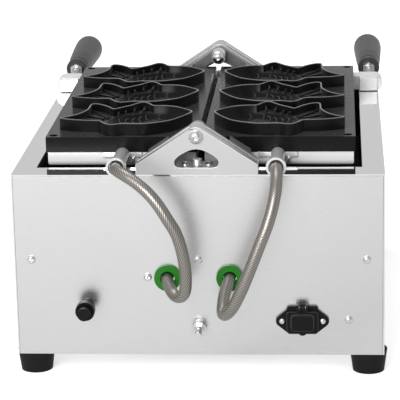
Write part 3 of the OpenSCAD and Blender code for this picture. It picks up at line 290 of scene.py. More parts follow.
def object_noise(tree, scale, stretch=(1, 1, 1)):
    """Noise on the piece's own coordinates, in grains per metre."""
    coordinates = tree.nodes.new("ShaderNodeTexCoord")
    mapping = tree.nodes.new("ShaderNodeMapping")
    mapping.inputs["Scale"].default_value = stretch
    noise = tree.nodes.new("ShaderNodeTexNoise")
    noise.inputs["Scale"].default_value = scale
    noise.inputs["Detail"].default_value = NOISE_DETAIL
    link_nodes(
        tree,
        (coordinates.outputs["Object"], mapping.inputs["Vector"]),
        (mapping.outputs["Vector"], noise.inputs["Vector"]),
    )
    return noise.outputs[0]


def ranged(tree, value, low, high):
    """Stretches the middle of a noise to a range of numbers."""
    reach = tree.nodes.new("ShaderNodeMapRange")
    reach.inputs["From Min"].default_value, reach.inputs["From Max"].default_value = NOISE_MIDDLE
    reach.inputs["To Min"].default_value, reach.inputs["To Max"].default_value = low, high
    link_nodes(tree, (value, reach.inputs["Value"]))
    return reach.outputs["Result"]


print("middle of a noise:", NOISE_MIDDLE)

# %% Make a finish from its colours and its grain
CLOUD_SCALE = 14
BEVEL_SAMPLES = 4


def rounded_bump(tree, shader, height, depth, edge):
    """Bump as deep as the depth says, over edges that look rounded by the radius edge."""
    bump = tree.nodes.new("ShaderNodeBump")
    bump.inputs["Distance"].default_value = depth
    link_nodes(tree, (height, bump.inputs["Height"]), (bump.outputs["Normal"], shader.inputs["Normal"]))
    if edge:
        bevel = tree.nodes.new("ShaderNodeBevel")
        bevel.samples = BEVEL_SAMPLES
        bevel.inputs["Radius"].default_value = edge
        link_nodes(tree, (bevel.outputs["Normal"], bump.inputs["Normal"]))


def grained(name, color, shade, metallic, rough, scale, stretch=(1, 1, 1), depth=30 * MICRON, edge=0.4 * MM,
            gloss=0.5):
    """A finish with a cloudy second colour, whose roughness from and to and bump follow one grain."""
    material, shader = new_material(name, color, metallic, rough[0], gloss)
    tree = material.node_tree
    grain = object_noise(tree, scale, stretch)
    cloud = object_noise(tree, CLOUD_SCALE)
    link_nodes(
        tree,
        (mixed(tree, cloud, color, shade), shader.inputs["Base Color"]),
        (ranged(tree, grain, *rough), shader.inputs["Roughness"]),
    )
    rounded_bump(tree, shader, grain, depth, edge)
    return material


print("clouds per metre:", CLOUD_SCALE)

# %% [markdown]
# ## Metals
# The panels are brushed along their width, so their grain is long in x and fine in z.
# The top is the same sheet with its bright skin left on: it mirrors the pans as pale strips.
# The brackets, arms and lugs are cast and tumbled, with a fine even skin and edges that are rounded further below.
# A plain grey metal would do from afar, but seen from a step away, brushing and cast skin are what tell them apart.

# %% Mix the metals
BRUSHED = (0.02, 1, 1)
# Name, colour, second colour, metallic, roughness from and to, and grains per metre
panel_steel = grained("panel_steel", grey(0.68), grey(0.655, 0.005), 1, (0.27, 0.31), 2600, BRUSHED,
                      depth=4 * MICRON)
bright_steel = grained("bright_steel", grey(0.82, 0.005), grey(0.78, 0.01), 1, (0.03, 0.06), 1800, BRUSHED,
                       depth=MICRON, edge=0)
# Painted shade: the heater well is near black for the dark gap under the pans, though its steel is bright
well_painted_shade = grained("well_painted_shade", grey(0.05), grey(0.03), 1, (0.5, 0.7), 900)
cast_silver = grained("cast_silver", grey(0.56), grey(0.53, 0.005), 0.85, (0.34, 0.44), 900, edge=0)
# Painted highlight: a pale colour for the brackets' bevels, so that their edges shine
edge_highlight_silver = grained("edge_highlight_silver", grey(0.93), grey(0.88), 0.45, (0.34, 0.44), 300, depth=2 * MICRON, edge=0)
arm_casting = grained("arm_casting", grey(0.20, 0.005), grey(0.16, 0.005), 0.45, (0.36, 0.48), 800,
                      depth=40 * MICRON, edge=0)
pan_metal = grained("pan_metal", grey(0.97, -0.005), grey(0.94), 0.1, (0.28, 0.36), 700, depth=10 * MICRON, edge=0)
lug_casting = grained("lug_casting", grey(0.85), grey(0.80), 0.4, (0.34, 0.45), 900, edge=0)
sleeve_metal = grained("sleeve_metal", grey(0.74, -0.005), grey(0.66), 0.45, (0.18, 0.26), 1200, depth=6 * MICRON,
                       edge=0)
plated_steel = grained("plated_steel", grey(0.70), grey(0.60, 0.01), 1, (0.20, 0.28), 1500, depth=3 * MICRON,
                       edge=0.3 * MM)
dark_steel = grained("dark_steel", grey(0.20), grey(0.13, 0.005), 1, (0.34, 0.5), 1100)
contact_brass = grained("contact_brass", (0.72, 0.53, 0.22), (0.62, 0.44, 0.18), 1, (0.22, 0.34), 900)
print("materials so far:", len(bpy.data.materials))

# %% [markdown]
# ## Coating, rubber and plastics
# The castings wear a matt black non-stick coating. It looks grey on the flat tops, seen at a low angle, and almost
# black on the mould walls, which is what a sheen does. The rims are painted lighter: partly wear from closing the
# plates, partly a painted highlight for the light that the thin rims catch. It could be put on chosen faces, but here
# it is mixed in by height, because on the plate's own coordinates only the rims reach that high.
# Brushing the bowls clean also rubs the raised scales and gills, so these take a slightly lighter coating.

# %% Mix the coating
RIM_BAND = (0.2434, 0.2441)
# Partly wear, partly a painted highlight for the light that the thin rims catch
RIM_WEAR_AND_HIGHLIGHT = grey(0.17)
COATING_SHEEN, SHEEN_ROUGHNESS = 0.1, 0.4
COATING_DEPTH = 8 * MICRON


def coating():
    """Black non-stick coating with a dusty sheen, and rims painted lighter for wear and as a painted highlight."""
    material = grained("plate_coating", grey(0.006, 0.0005), grey(0.004), 0, (0.22, 0.30), 1300,
                       depth=COATING_DEPTH, gloss=0.12)
    tree = material.node_tree
    shader = tree.nodes["Principled BSDF"]
    shader.inputs["Sheen Weight"].default_value = COATING_SHEEN
    shader.inputs["Sheen Roughness"].default_value = SHEEN_ROUGHNESS
    plain = shader.inputs["Base Color"].links[0].from_socket
    coordinates = tree.nodes.new("ShaderNodeTexCoord")
    parts = tree.nodes.new("ShaderNodeSeparateXYZ")
    band = tree.nodes.new("ShaderNodeMapRange")
    band.inputs["From Min"].default_value, band.inputs["From Max"].default_value = RIM_BAND
    link_nodes(
        tree,
        (coordinates.outputs["Object"], parts.inputs[0]),
        (parts.outputs["Z"], band.inputs["Value"]),
        (mixed(tree, band.outputs["Result"], plain, RIM_WEAR_AND_HIGHLIGHT), shader.inputs["Base Color"]),
    )
    return material


plate_coating = coating()
rubbed_coating = grained("rubbed_coating", grey(0.03), grey(0.02), 0, (0.22, 0.30), 1300, depth=COATING_DEPTH,
                         edge=0, gloss=0.4)
print("rims take their colour from", RIM_BAND[0], "to", RIM_BAND[1], "m")

# %% Mix the rubbers, plastics and inks
foot_rubber = grained("foot_rubber", grey(0.009), grey(0.005), 0, (0.5, 0.66), 1500, edge=0.6 * MM, gloss=0.18)
green_rubber = grained("green_rubber", (0.012, 0.195, 0.006), (0.008, 0.148, 0.004), 0, (0.42, 0.55), 1400, edge=0,
                       gloss=0.3)
grip_resin = grained("grip_resin", grey(0.036, 0.002), grey(0.026, 0.002), 0, (0.34, 0.46), 600, gloss=0.4)
black_plastic = grained("black_plastic", grey(0.007, 0.001), grey(0.004, 0.001), 0, (0.30, 0.42), 1700,
                        edge=0.5 * MM, gloss=0.14)
# Painted highlight: a grey for the bevels of the black plastics
edge_highlight_black = grained("edge_highlight_black", grey(0.10), grey(0.06), 0, (0.3, 0.4), 1700, edge=0)
dial_white = grained("dial_white", grey(0.80, -0.02), grey(0.74, -0.02), 0, (0.35, 0.45), 900, edge=0.2 * MM)
print_black = grained("print_black", grey(0.012), grey(0.008), 0, (0.4, 0.5), 900, edge=0)
print_white = grained("print_white", grey(0.85, -0.02), grey(0.80, -0.02), 0, (0.4, 0.5), 900, edge=0)
rocker_red = grained("rocker_red", (0.55, 0.03, 0.02), (0.45, 0.02, 0.015), 0, (0.20, 0.30), 500)
lamp_amber = grained("lamp_amber", (0.75, 0.24, 0.02), (0.65, 0.18, 0.015), 0, (0.10, 0.18), 500)
print("materials so far:", len(bpy.data.materials))

# %% [markdown]
# ### Woven wire
# The braid's hollows between the strands are painted darker than the strands: painted shade for the shadow that falls
# in them.
# The tube's mesh carries a number at each point that says how high it stands, and the finish reads that number.
# A pattern on the piece's coordinates would slide when the tube bends. A number on the mesh bends with it.

# %% Mix the braid
# The darkest colour is painted shade in the braid's hollows.
BRAID_LIGHT, BRAID_SHADE, BRAID_PAINTED_SHADE = (0.44, 0.414, 0.382), (0.37, 0.347, 0.318), (0.11, 0.103, 0.093)


def woven():
    """Braided wire with painted shade where the attribute strand is low."""
    material = grained("braid_metal", BRAID_LIGHT, BRAID_SHADE, 0.9, (0.28, 0.38), 2600, depth=20 * MICRON, edge=0)
    tree = material.node_tree
    shader = tree.nodes["Principled BSDF"]
    plain = shader.inputs["Base Color"].links[0].from_socket
    strand = tree.nodes.new("ShaderNodeAttribute")
    strand.attribute_name = "strand"
    link_nodes(tree, (mixed(tree, strand.outputs["Fac"], BRAID_PAINTED_SHADE, plain), shader.inputs["Base Color"]))
    return material


braid_metal = woven()
print("braid colours:", BRAID_LIGHT, "to", BRAID_PAINTED_SHADE)

# %% [markdown]
# ## Dressing the solids
# Every solid of the model gets the finish of the real piece, so that nothing stays plain grey. Some solids get a
# rounded copy further below, which takes the same finish.
# One list from finish to pieces is shorter than a line for each piece, and shows what is made of the same stuff.

# %% Put the finishes on the solids
FINISHES = (
    (panel_steel, "rear_panel front_panel base_plate"),
    (well_painted_shade, "heater_well"),
    (bright_steel, "cabinet_wrap"),
    (cast_silver, "rear_pivot_bracket front_pivot_bracket"),
    (arm_casting, "left_rear_arm left_front_arm right_rear_arm right_front_arm"),
    (lug_casting, "left_handle_lug right_handle_lug"),
    (pan_metal, "left_heater_pan right_heater_pan"),
    (sleeve_metal, "left_conduit_sleeve right_conduit_sleeve"),
    (plated_steel, "panel_screws foot_screws bracket_screws rear_pivot_bolt front_pivot_bolt front_pivot_spacer "
                   "inlet_hinge_pin earth_stud earth_nuts left_handle_stud left_handle_nut right_handle_stud "
                   "right_handle_nut"),
    (dark_steel, "rear_pivot_clip control_units left_heating_element right_heating_element left_plate_screws "
                 "right_plate_screws"),
    (contact_brass, "inlet_pins"),
    (plate_coating, "left_mould_plate right_mould_plate"),
    (foot_rubber, "foot_rear_left foot_rear_right foot_front_left foot_front_right"),
    (green_rubber, "grommet_left grommet_right"),
    (grip_resin, "left_handle_grip right_handle_grip"),
    (black_plastic, "inlet_body inlet_cover reset_body reset_nut reset_button thermostat_knob timer_knob switch_body"),
    (dial_white, "dial_plates"),
    (rocker_red, "switch_rocker"),
    (lamp_amber, "indicator_lamps"),
)
finish_of = {name: finish for finish, names in FINISHES for name in names.split()}


def dress(piece, material):
    """Gives a solid one finish all over."""
    if piece.material_slots:
        for place in piece.material_slots:
            place.material = material
    else:
        piece.data.materials.append(material)


for node_name, finish in finish_of.items():
    dress(nodes[node_name], finish)
print("dressed solids:", len(finish_of))

# %% [markdown]
# ## The two conduits
# Each heater's wires run through a flexible metal conduit, from the sleeve on the pan to a rubber grommet in the panel.
# Its skin is a fine braid of wire, two sets of strands that cross on the slant.
# Each strand could be a wire of its own, but from a step away one skin with fine ridges looks the same and is lighter.
# The route repeats the drawing's points. A smooth curve runs through them, and rings of points are set along it,
# each a little further out where a strand passes. One mesh is enough.

# %% Routes of the conduits
# Places of the drawing, from the sleeve on the pan to the cabinet's inside
ROUTES = {
    "left": (
        (-77.5, 2, 216.2), (-77.5, -12, 216.9), (-75.5, -21, 217), (-67, -30, 214.5), (-55, -37, 208.5),
        (-43.5, -43, 200), (-34, -47, 189.5), (-25, -50, 176), (-17, -51, 162), (-11.5, -51, 143),
        (-9, -50, 122), (-10, -47, 104), (-15, -40, 95.5), (-21.5, -30, 93.5), (-26.5, -20, 96.5),
        (-29.7, -11, 100.6), (-30.7, -3, 102.2), (-30.7, 13, 102.2),
    ),
    "right": (
        (77.5, 2, 216.2), (77.5, -12, 216.9), (78.3, -22, 215), (78.5, -32, 209), (77.5, -40, 199),
        (74, -47, 183.5), (69, -51.5, 168), (63, -54, 153), (54, -56, 130), (44.5, -56, 107),
        (36.5, -53, 90), (29.5, -46, 80), (25.5, -37, 77.5), (25, -28, 83), (26.6, -19, 92),
        (29.2, -10.5, 99.6), (30.7, -3, 102.2), (30.7, 13, 102.2),
    ),
}
print("places on the routes:", {side: len(points) for side, points in ROUTES.items()})

# %% Run a smooth line through places
ROUTE_PARTS = 24
# Keeps a step between two equal places from dividing by nothing
SHORTEST = 1e-12


def curve_point(a, b, c, d, t):
    """A point of the smooth curve between b and c."""
    return 0.5 * (2 * b + (c - a) * t + (2 * a - 5 * b + 4 * c - d) * t**2 + (3 * b - a - 3 * c + d) * t**3)


def smooth_line(points, parts):
    """A smooth curve through points, with so many parts between each pair."""
    points = [Vector(p) for p in points]
    ends = [points[0] * 2 - points[1], *points, points[-1] * 2 - points[-2]]
    line = [
        curve_point(*ends[i:i + 4], k / parts)
        for i in range(len(points) - 1)
        for k in range(parts)
    ]
    return line + [points[-1]]


def evenly(line, step):
    """Points at even distances along a line."""
    lengths = [0]
    for a, b in zip(line, line[1:]):
        lengths.append(lengths[-1] + (b - a).length)
    count = max(2, round(lengths[-1] / step))
    result, index = [], 0
    for k in range(count + 1):
        wanted = lengths[-1] * k / count
        while index < len(line) - 2 and lengths[index + 1] < wanted:
            index += 1
        share = (wanted - lengths[index]) / max(lengths[index + 1] - lengths[index], SHORTEST)
        result.append(line[index].lerp(line[index + 1], share))
    return result, lengths[-1]


route_lines = {side: smooth_line([spot(*p) for p in points], ROUTE_PARTS) for side, points in ROUTES.items()}
print("route lengths:", {side: round(evenly(line, MM)[1], 4) for side, line in route_lines.items()})

# %% Make a mesh from points and faces


def mesh_piece(name, points, faces, material):
    """A new mesh object at the origin, with its place in its mesh."""
    mesh = bpy.data.meshes.new(name)
    mesh.from_pydata([tuple(p) for p in points], [], faces)
    mesh.validate()
    for face in mesh.polygons:
        face.use_smooth = True
    piece = bpy.data.objects.new(name, mesh)
    bpy.context.scene.collection.objects.link(piece)
    piece.data.materials.append(material)
    return piece


def tube_faces(rings, sides):
    """Quads between rings of points, and a flat face at each end."""
    faces = [
        (i * sides + k, i * sides + (k + 1) % sides, (i + 1) * sides + (k + 1) % sides, (i + 1) * sides + k)
        for i in range(rings - 1)
        for k in range(sides)
    ]
    faces.append(tuple(reversed(range(sides))))
    faces.append(tuple(range((rings - 1) * sides, rings * sides)))
    return faces


print("faces of a short tube:", len(tube_faces(3, 8)))

# %% Braid a conduit along its route
CONDUIT_RADIUS, CONDUIT_SIDES, RING_STEP = 5.95 * MM, 72, 0.75 * MM
# How many strands lie one way, how deep the hollows are, and how far a strand goes in one turn
STRANDS, STRAND_DEPTH, STRAND_LEAD = 14, 0.2 * MM, 46 * MM
# How much of the height comes from the strands that show, and how much from those that cross them
STRAND_SHARE, CROSSING_SHARE = 0.78, 0.22


def braided_tube(name, line, material):
    """A tube whose skin rises where slanted strands pass."""
    centres, length = evenly(line, RING_STEP)
    side_way = Vector((1, 0, 0))
    points, heights = [], []
    for i, centre in enumerate(centres):
        ahead = (centres[min(i + 1, len(centres) - 1)] - centres[max(i - 1, 0)]).normalized()
        side_way = (side_way - ahead * side_way.dot(ahead)).normalized()
        other_way = ahead.cross(side_way)
        lay = math.tau * STRANDS * (length * i / (len(centres) - 1)) / STRAND_LEAD
        for k in range(CONDUIT_SIDES):
            angle = math.tau * k / CONDUIT_SIDES
            strand = STRAND_SHARE * math.cos(STRANDS * angle - lay)
            crossing = CROSSING_SHARE * math.cos(STRANDS * angle + lay)
            heights.append(0.5 + 0.5 * (strand + crossing))
            radius = CONDUIT_RADIUS - STRAND_DEPTH * (1 - heights[-1])
            points.append(centre + radius * (math.cos(angle) * side_way + math.sin(angle) * other_way))
    piece = mesh_piece(name, points, tube_faces(len(centres), CONDUIT_SIDES), material)
    piece.data.attributes.new("strand", "FLOAT", "POINT").data.foreach_set("value", heights)
    return piece


conduits = {side: braided_tube(f"conduit_{side}_braid", route_lines[side], braid_metal) for side in ROUTES}
print("conduit points:", {side: len(piece.data.vertices) for side, piece in conduits.items()})

# %% [markdown]
# ### The conduits in place of the solids
# The model's conduit solids are hidden, and each braided tube is measured along a coarse path. A conduit leaves its
# sleeve on the plate and goes back into the cabinet at the grommet, and it bends in between when the plate turns over.

PATH_STEP = 6 * MM

for side, piece in conduits.items():
    centres, length = evenly(route_lines[side], PATH_STEP)
    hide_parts(f"conduit_{side}")
    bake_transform(piece)
    print(piece.name, round(length, 4), "m long")

# %% [markdown]
# ## Rounded edges on castings and pressings
# No casting has a knife edge: sand, tumbling and handling round it by about a millimetre.
# The solids have sharp edges, which is right for fitting, but a rounded edge is what catches the light.
# The finish alone could round them, but the outline would stay sharp.
# So the pieces whose edges show get a copy with a real bevel. The copy's loose triangles are merged first, and its
# flat faces joined, so that the Bevel modifier finds only the true edges.
# The bevel's faces may take a colour of their own: a painted highlight on the brackets, the inlet and the knobs, and a
# painted shade along the lugs' outline.

# %% Bake modifiers and clean a mesh
MERGE_DISTANCE = 0.002 * MM
FLAT_ANGLE = math.radians(0.5)


def baked(piece):
    """Turns the result of a piece's modifiers into its own plain mesh."""
    graph = bpy.context.evaluated_depsgraph_get()
    mesh = bpy.data.meshes.new_from_object(piece.evaluated_get(graph))
    piece.modifiers.clear()
    piece.data = mesh
    return piece


def cleaned(shape):
    """Merges loose triangles and joins flat faces, and gives the points and faces that remain."""
    bmesh.ops.remove_doubles(shape, verts=shape.verts, dist=MERGE_DISTANCE)
    bmesh.ops.dissolve_limit(shape, angle_limit=FLAT_ANGLE, verts=shape.verts, edges=shape.edges)
    shape.verts.index_update()
    points = [v.co.copy() for v in shape.verts]
    faces = [[v.index for v in face.verts] for face in shape.faces]
    shape.free()
    return points, faces


print("points merge within", round(MERGE_DISTANCE / MM, 4), "mm")

# %% Round the edges of a piece
EDGE_SEGMENTS = 3
EDGE_ANGLE, SMOOTH_ANGLE = math.radians(38), math.radians(40)
# Bevel colours: painted highlight on the cast silver and the black plastic, painted shade along the lugs' outline
EDGE_HIGHLIGHT_AND_SHADE = {cast_silver: edge_highlight_silver, lug_casting: cast_silver, black_plastic: edge_highlight_black}


def round_edges(piece, width):
    """Bevels the true edges of a piece, some with a painted highlight or shade. A width of 0 only shades it smoothly.
    """
    if not width:
        piece.data.set_sharp_from_angle(angle=SMOOTH_ANGLE)
        return
    bevel = piece.modifiers.new("edges", "BEVEL")
    bevel.width = width * MM
    bevel.segments = EDGE_SEGMENTS
    bevel.limit_method = "ANGLE"
    bevel.angle_limit = EDGE_ANGLE
    bevel.harden_normals = True
    finish = piece.data.materials[0]
    if finish in EDGE_HIGHLIGHT_AND_SHADE:
        piece.data.materials.append(EDGE_HIGHLIGHT_AND_SHADE[finish])
        bevel.material = 1
    baked(piece)


def stand_in(piece, node_name):
    """Lets a new piece stand for a solid of the model."""
    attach(piece, body_of[node_name])
    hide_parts(node_name)


print("edge finishes:", len(EDGE_HIGHLIGHT_AND_SHADE))

# %% Make the rounded copies
# Solid, and how wide its rounded edges are in millimetres. The mould plates' fine edges are only shaded.
ROUNDED = (
    ("left_rear_arm", 0.9), ("right_rear_arm", 0.9), ("left_front_arm", 0.9), ("right_front_arm", 0.9),
    ("left_handle_lug", 1.2), ("right_handle_lug", 1.2), ("left_heater_pan", 0.5), ("right_heater_pan", 0.5),
    ("inlet_cover", 0.7), ("inlet_body", 0.45), ("thermostat_knob", 0.7), ("timer_knob", 0.7),
    ("left_mould_plate", 0), ("right_mould_plate", 0), ("left_conduit_sleeve", 0.3), ("right_conduit_sleeve", 0.3),
)


def rounded_copy(node_name, width):
    """A copy of a solid with bevelled edges, which stands for it."""
    solid = nodes[node_name]
    shape = bmesh.new()
    shape.from_mesh(solid.data)
    shape.transform(solid.matrix_world)
    piece = mesh_piece(f"{node_name}_rounded", *cleaned(shape), finish_of[node_name])
    round_edges(piece, width)
    stand_in(piece, node_name)
    return piece


rounded_pieces = [rounded_copy(node_name, width) for node_name, width in ROUNDED]
print("rounded pieces:", len(rounded_pieces), "faces:", sum(len(p.data.polygons) for p in rounded_pieces))

# %% [markdown]
# ## The two pivot brackets
# Each bracket is a cast triangle with a rounded top, two webs with a groove between them, and a lens-shaped window
# through which its two screws are driven. A short post stands between the screws.
# A window with such a soft outline could be cut with cylinders, but is easier to draw as points with a smooth line.
# The webs are plates cut to the outline, so one function makes them all, and the bevel comes last.

# %% Draw the bracket's outlines
# The foot's half length, the height of its ends and the bracket's depth, in millimetres
BRACKET_HALF, BRACKET_END, BRACKET_DEPTH = 59.5, 9.8, 26
# The pivot's height, and the radius of the rounded top about it
AXIS_Z, TOP_RADIUS, TOP_PARTS = 244.7, 9.4, 18
# The cabinet's top and length, and how far above the top the window starts
TOP_Z, CABINET_DEPTH, WINDOW_FLOOR = 207, 436, 7
# Half of the window's outline, from the middle of its floor to its crown, and the parts between two points
WINDOW_PARTS = 4
HALF_WINDOW = (
    (0, 0), (9, 0), (16.5, 0), (20.4, 1.5), (21.6, 4.8), (20.6, 8.2), (16, 12.2), (10.5, 15.4), (5.4, 17.6), (0, 18.4),
)
# From and to, measured from the bracket's outer face, and how far the slanted faces stay inside the outline
WEBS = ((0, 12.5, 0), (12, 20, 5), (19.5, BRACKET_DEPTH, 0.6))


def arc(centre, radius, first, last, parts):
    """Points on a circle between two angles."""
    angles = [first + (last - first) * k / parts for k in range(parts + 1)]
    return [(centre[0] + radius * math.cos(a), centre[1] + radius * math.sin(a)) for a in angles]


def bracket_outline(inset):
    """The triangle with its rounded top, as places of x and z, with its slanted faces further inside."""
    reach = math.hypot(BRACKET_HALF, TOP_Z + BRACKET_END - AXIS_Z)
    slope = math.atan2(TOP_Z + BRACKET_END - AXIS_Z, BRACKET_HALF) + math.acos(TOP_RADIUS / reach)
    start = slope - math.acos((TOP_RADIUS - inset) / TOP_RADIUS)
    top = arc((0, AXIS_Z), TOP_RADIUS, start, math.pi - start, TOP_PARTS)
    end_z = TOP_Z + BRACKET_END - inset / math.sin(slope)
    return [(-BRACKET_HALF, TOP_Z), (BRACKET_HALF, TOP_Z), (BRACKET_HALF, end_z), *top, (-BRACKET_HALF, end_z)]


def window_outline():
    """The lens-shaped window, as places of x and z."""
    right = [p[:2] for p in smooth_line([(x, z, 0) for x, z in HALF_WINDOW], WINDOW_PARTS)]
    left = [(-x, z) for x, z in reversed(right[1:-1])]
    return [(x, TOP_Z + WINDOW_FLOOR + z) for x, z in right + left]


print("window points:", len(window_outline()))

# %% Cut plates and turn posts


def cut_plate(shape, outlines, low, high):
    """Adds a plate between two places along the row, cut to closed outlines."""
    flat = [p for outline in outlines for p in outline]
    caps = tessellate_polygon([[Vector((x, z, 0)) for x, z in outline] for outline in outlines])
    front = [shape.verts.new(spot(x, low, z)) for x, z in flat]
    back = [shape.verts.new(spot(x, high, z)) for x, z in flat]
    for corners in caps:
        shape.faces.new([front[i] for i in corners])
        shape.faces.new([back[i] for i in corners])
    start = 0
    for outline in outlines:
        for k in range(len(outline)):
            a, b = start + k, start + (k + 1) % len(outline)
            shape.faces.new((front[a], front[b], back[b], back[a]))
        start += len(outline)


def ring(centre, radius, sides):
    """Points all round a circle."""
    return arc(centre, radius, 0, math.tau * (sides - 1) / sides, sides - 1)


def turned_post(shape, x, s, z, profile, sides):
    """Adds an upright turned post from radii and heights."""
    rings = []
    for radius, height in profile:
        rings.append([shape.verts.new(spot(px, ps, z + height)) for px, ps in ring((x, s), radius, sides)])
    for low, high in zip(rings, rings[1:]):
        for k in range(sides):
            shape.faces.new((low[k], low[(k + 1) % sides], high[(k + 1) % sides], high[k]))
    shape.faces.new(rings[0])
    shape.faces.new(rings[-1])


print("points of a ring:", len(ring((0, 0), 1, 8)))

# %% Cast the brackets
BRACKET_BEVEL = 1.1
HOLE_RADIUS, HOLE_SIDES = 4, 24
# Radii and heights of the post, from its foot to its rounded end
POST = ((4.8, 0), (4.8, 12.2), (4.4, 12.8), (3.6, 13))
POST_SIDES = 32


def bracket(node_name, outer, inward):
    """A pivot bracket whose outer face is at a place, with its depth towards the cabinet's middle."""
    shape = bmesh.new()
    hole = ring((0, AXIS_Z), HOLE_RADIUS, HOLE_SIDES)
    for near, far, inset in WEBS:
        low, high = sorted((outer + inward * near, outer + inward * far))
        cut_plate(shape, (bracket_outline(inset), window_outline(), hole), low, high)
    turned_post(shape, 0, outer + inward * BRACKET_DEPTH / 2, TOP_Z, POST, POST_SIDES)
    bmesh.ops.recalc_face_normals(shape, faces=shape.faces)
    piece = mesh_piece(f"{node_name}_cast", *cleaned(shape), cast_silver)
    round_edges(piece, BRACKET_BEVEL)
    stand_in(piece, node_name)
    return piece


brackets = [bracket("rear_pivot_bracket", 0, 1), bracket("front_pivot_bracket", CABINET_DEPTH, -1)]
print("bracket faces:", [len(piece.data.polygons) for piece in brackets])

# %% [markdown]
# ## Growing what repeats
# Scales and threads repeat one small shape along a rule, which is what Geometry Nodes are for.
# A loop in Python could copy the shape too, but a tree keeps the rule and its sizes together, where they can be tried.
# Each tree has named inputs for its sizes. It ends by making its instances real and giving them a finish, because
# an exported model keeps only real faces. The result becomes a plain mesh before it rides on anything.

# %% Begin and end a small node tree


def new_tree(name, **inputs):
    """A geometry tree with named inputs, and its input sockets."""
    tree = bpy.data.node_groups.new(name, "GeometryNodeTree")
    tree.is_modifier = True
    tree.interface.new_socket("Geometry", in_out="INPUT", socket_type="NodeSocketGeometry")
    for label, kind in inputs.items():
        tree.interface.new_socket(label, in_out="INPUT", socket_type=f"NodeSocket{kind}")
    tree.interface.new_socket("Geometry", in_out="OUTPUT", socket_type="NodeSocketGeometry")
    return tree, tree.nodes.new("NodeGroupInput").outputs


def end_tree(tree, geometry, finish):
    """Ends a tree with real, finished faces."""
    real = tree.nodes.new("GeometryNodeRealizeInstances")
    paint = tree.nodes.new("GeometryNodeSetMaterial")
    result = tree.nodes.new("NodeGroupOutput")
    link_nodes(
        tree,
        (geometry, real.inputs[0]),
        (real.outputs[0], paint.inputs["Geometry"]),
        (finish, paint.inputs["Material"]),
        (paint.outputs[0], result.inputs[0]),
    )


print("node trees so far:", len(bpy.data.node_groups))

# %% Grow a piece with a tree


def wire_along(tree, curve, radius, sides):
    """A wire with so many sides along a curve."""
    profile = tree.nodes.new("GeometryNodeCurvePrimitiveCircle")
    profile.inputs["Resolution"].default_value = sides
    solid = tree.nodes.new("GeometryNodeCurveToMesh")
    solid.inputs["Fill Caps"].default_value = True
    link_nodes(
        tree,
        (radius, profile.inputs["Radius"]),
        (curve, solid.inputs["Curve"]),
        (profile.outputs["Curve"], solid.inputs["Profile Curve"]),
    )
    return solid.outputs["Mesh"]


def grown(name, start, tree, **values):
    """A plain mesh piece that a tree makes from a starting mesh."""
    piece = bpy.data.objects.new(name, start)
    bpy.context.scene.collection.objects.link(piece)
    modifier = piece.modifiers.new("grow", "NODES")
    modifier.node_group = tree
    for socket in tree.interface.items_tree:
        if socket.in_out == "INPUT" and socket.name in values:
            modifier[socket.identifier] = values[socket.name]
    return baked(piece)


print("finishes to choose from:", len(bpy.data.materials))

# %% [markdown]
# ## Scales in the fish moulds
# The middle of each fish has rows of small crescents, which the casting leaves on the cake as scales.
# A bump in the finish could draw them, but only real faces are kept when the mesh is exported.
# They lie on a curved bowl, so a ray is dropped on the casting at each place, and the crescent is turned to lie on
# the surface that the ray meets. Every second row is shifted by half a scale, as scales are.

# %% Drop a ray on a casting
# The flat top and the moulds' rims, and how far above the rims a ray starts, in millimetres
PLATE_Z, RIM_Z, DROP_HEIGHT = 231.8, 244.2, 10
# The least upward part of a normal on which scales still lie
LEAST_UPWARD = 0.6


def surface_of(node_name):
    """A solid's faces, ready for rays."""
    mesh = nodes[node_name].data
    return BVHTree.FromPolygons([v.co for v in mesh.vertices], [p.vertices for p in mesh.polygons])


def dropped(surface, x, s):
    """The place and the normal that a ray from above meets."""
    return surface.ray_cast(spot(x, s, RIM_Z + DROP_HEIGHT), Vector((0, 0, -1)))[:2]


def on_bowl(place, normal):
    """Whether a place is in a mould, and not on the flat top, a rim or a steep wall."""
    flat_top = abs(place.z - PLATE_Z * MM) < 0.2 * MM
    return normal.z > LEAST_UPWARD and not flat_top and place.z <= (RIM_Z - 1) * MM


plates = {side: surface_of(f"{side}_mould_plate") for side in ("left", "right")}
print("under the first fish's middle:", round(dropped(plates["right"], 77, 105)[0].z / MM, 1), "mm")

# %% Find the places of the scales
# Across the plate: where the fish start, beside the pivot, and how long they are
FISH_START, FISH_REACH = 10.8, 133.2
# Along the row: where the first fish starts, how wide a fish is, the step to the next, and how many there are
FISH_REAR, FISH_WIDTH, FISH_STEP, FISH_COUNT = 55.4, 100.3, 99, 3
# Places of the scales, as shares of a fish's length and width
SCALE_GAP = 0.078
SCALE_ROWS = [0.25 + 0.05 * k for k in range(8)]
SCALE_COLUMNS = [0.16 + SCALE_GAP * k for k in range(9)]


def scale_places(surface, way):
    """Points and normals on the bowls of one casting."""
    found = []
    for fish in range(FISH_COUNT):
        for row, along in enumerate(SCALE_ROWS):
            for across in SCALE_COLUMNS:
                share = across + SCALE_GAP / 2 * (row % 2)
                x = way * (FISH_START + along * FISH_REACH)
                place, normal = dropped(surface, x, FISH_REAR + FISH_STEP * fish + share * FISH_WIDTH)
                if on_bowl(place, normal):
                    found.append((place, normal))
    return found


scale_points = {"left": scale_places(plates["left"], -1), "right": scale_places(plates["right"], 1)}
print("scales:", {side: len(found) for side, found in scale_points.items()},
      "heights:", sorted({round(place.z / MM, 1) for place, _ in scale_points["right"]})[:6])

# %% Grow the scales
SCALE_SIZE, SCALE_WIRE = 3.9 * MM, 1.1 * MM
SCALE_SWEEP, SCALE_POINTS, SCALE_SIDES = math.radians(150), 8, 4


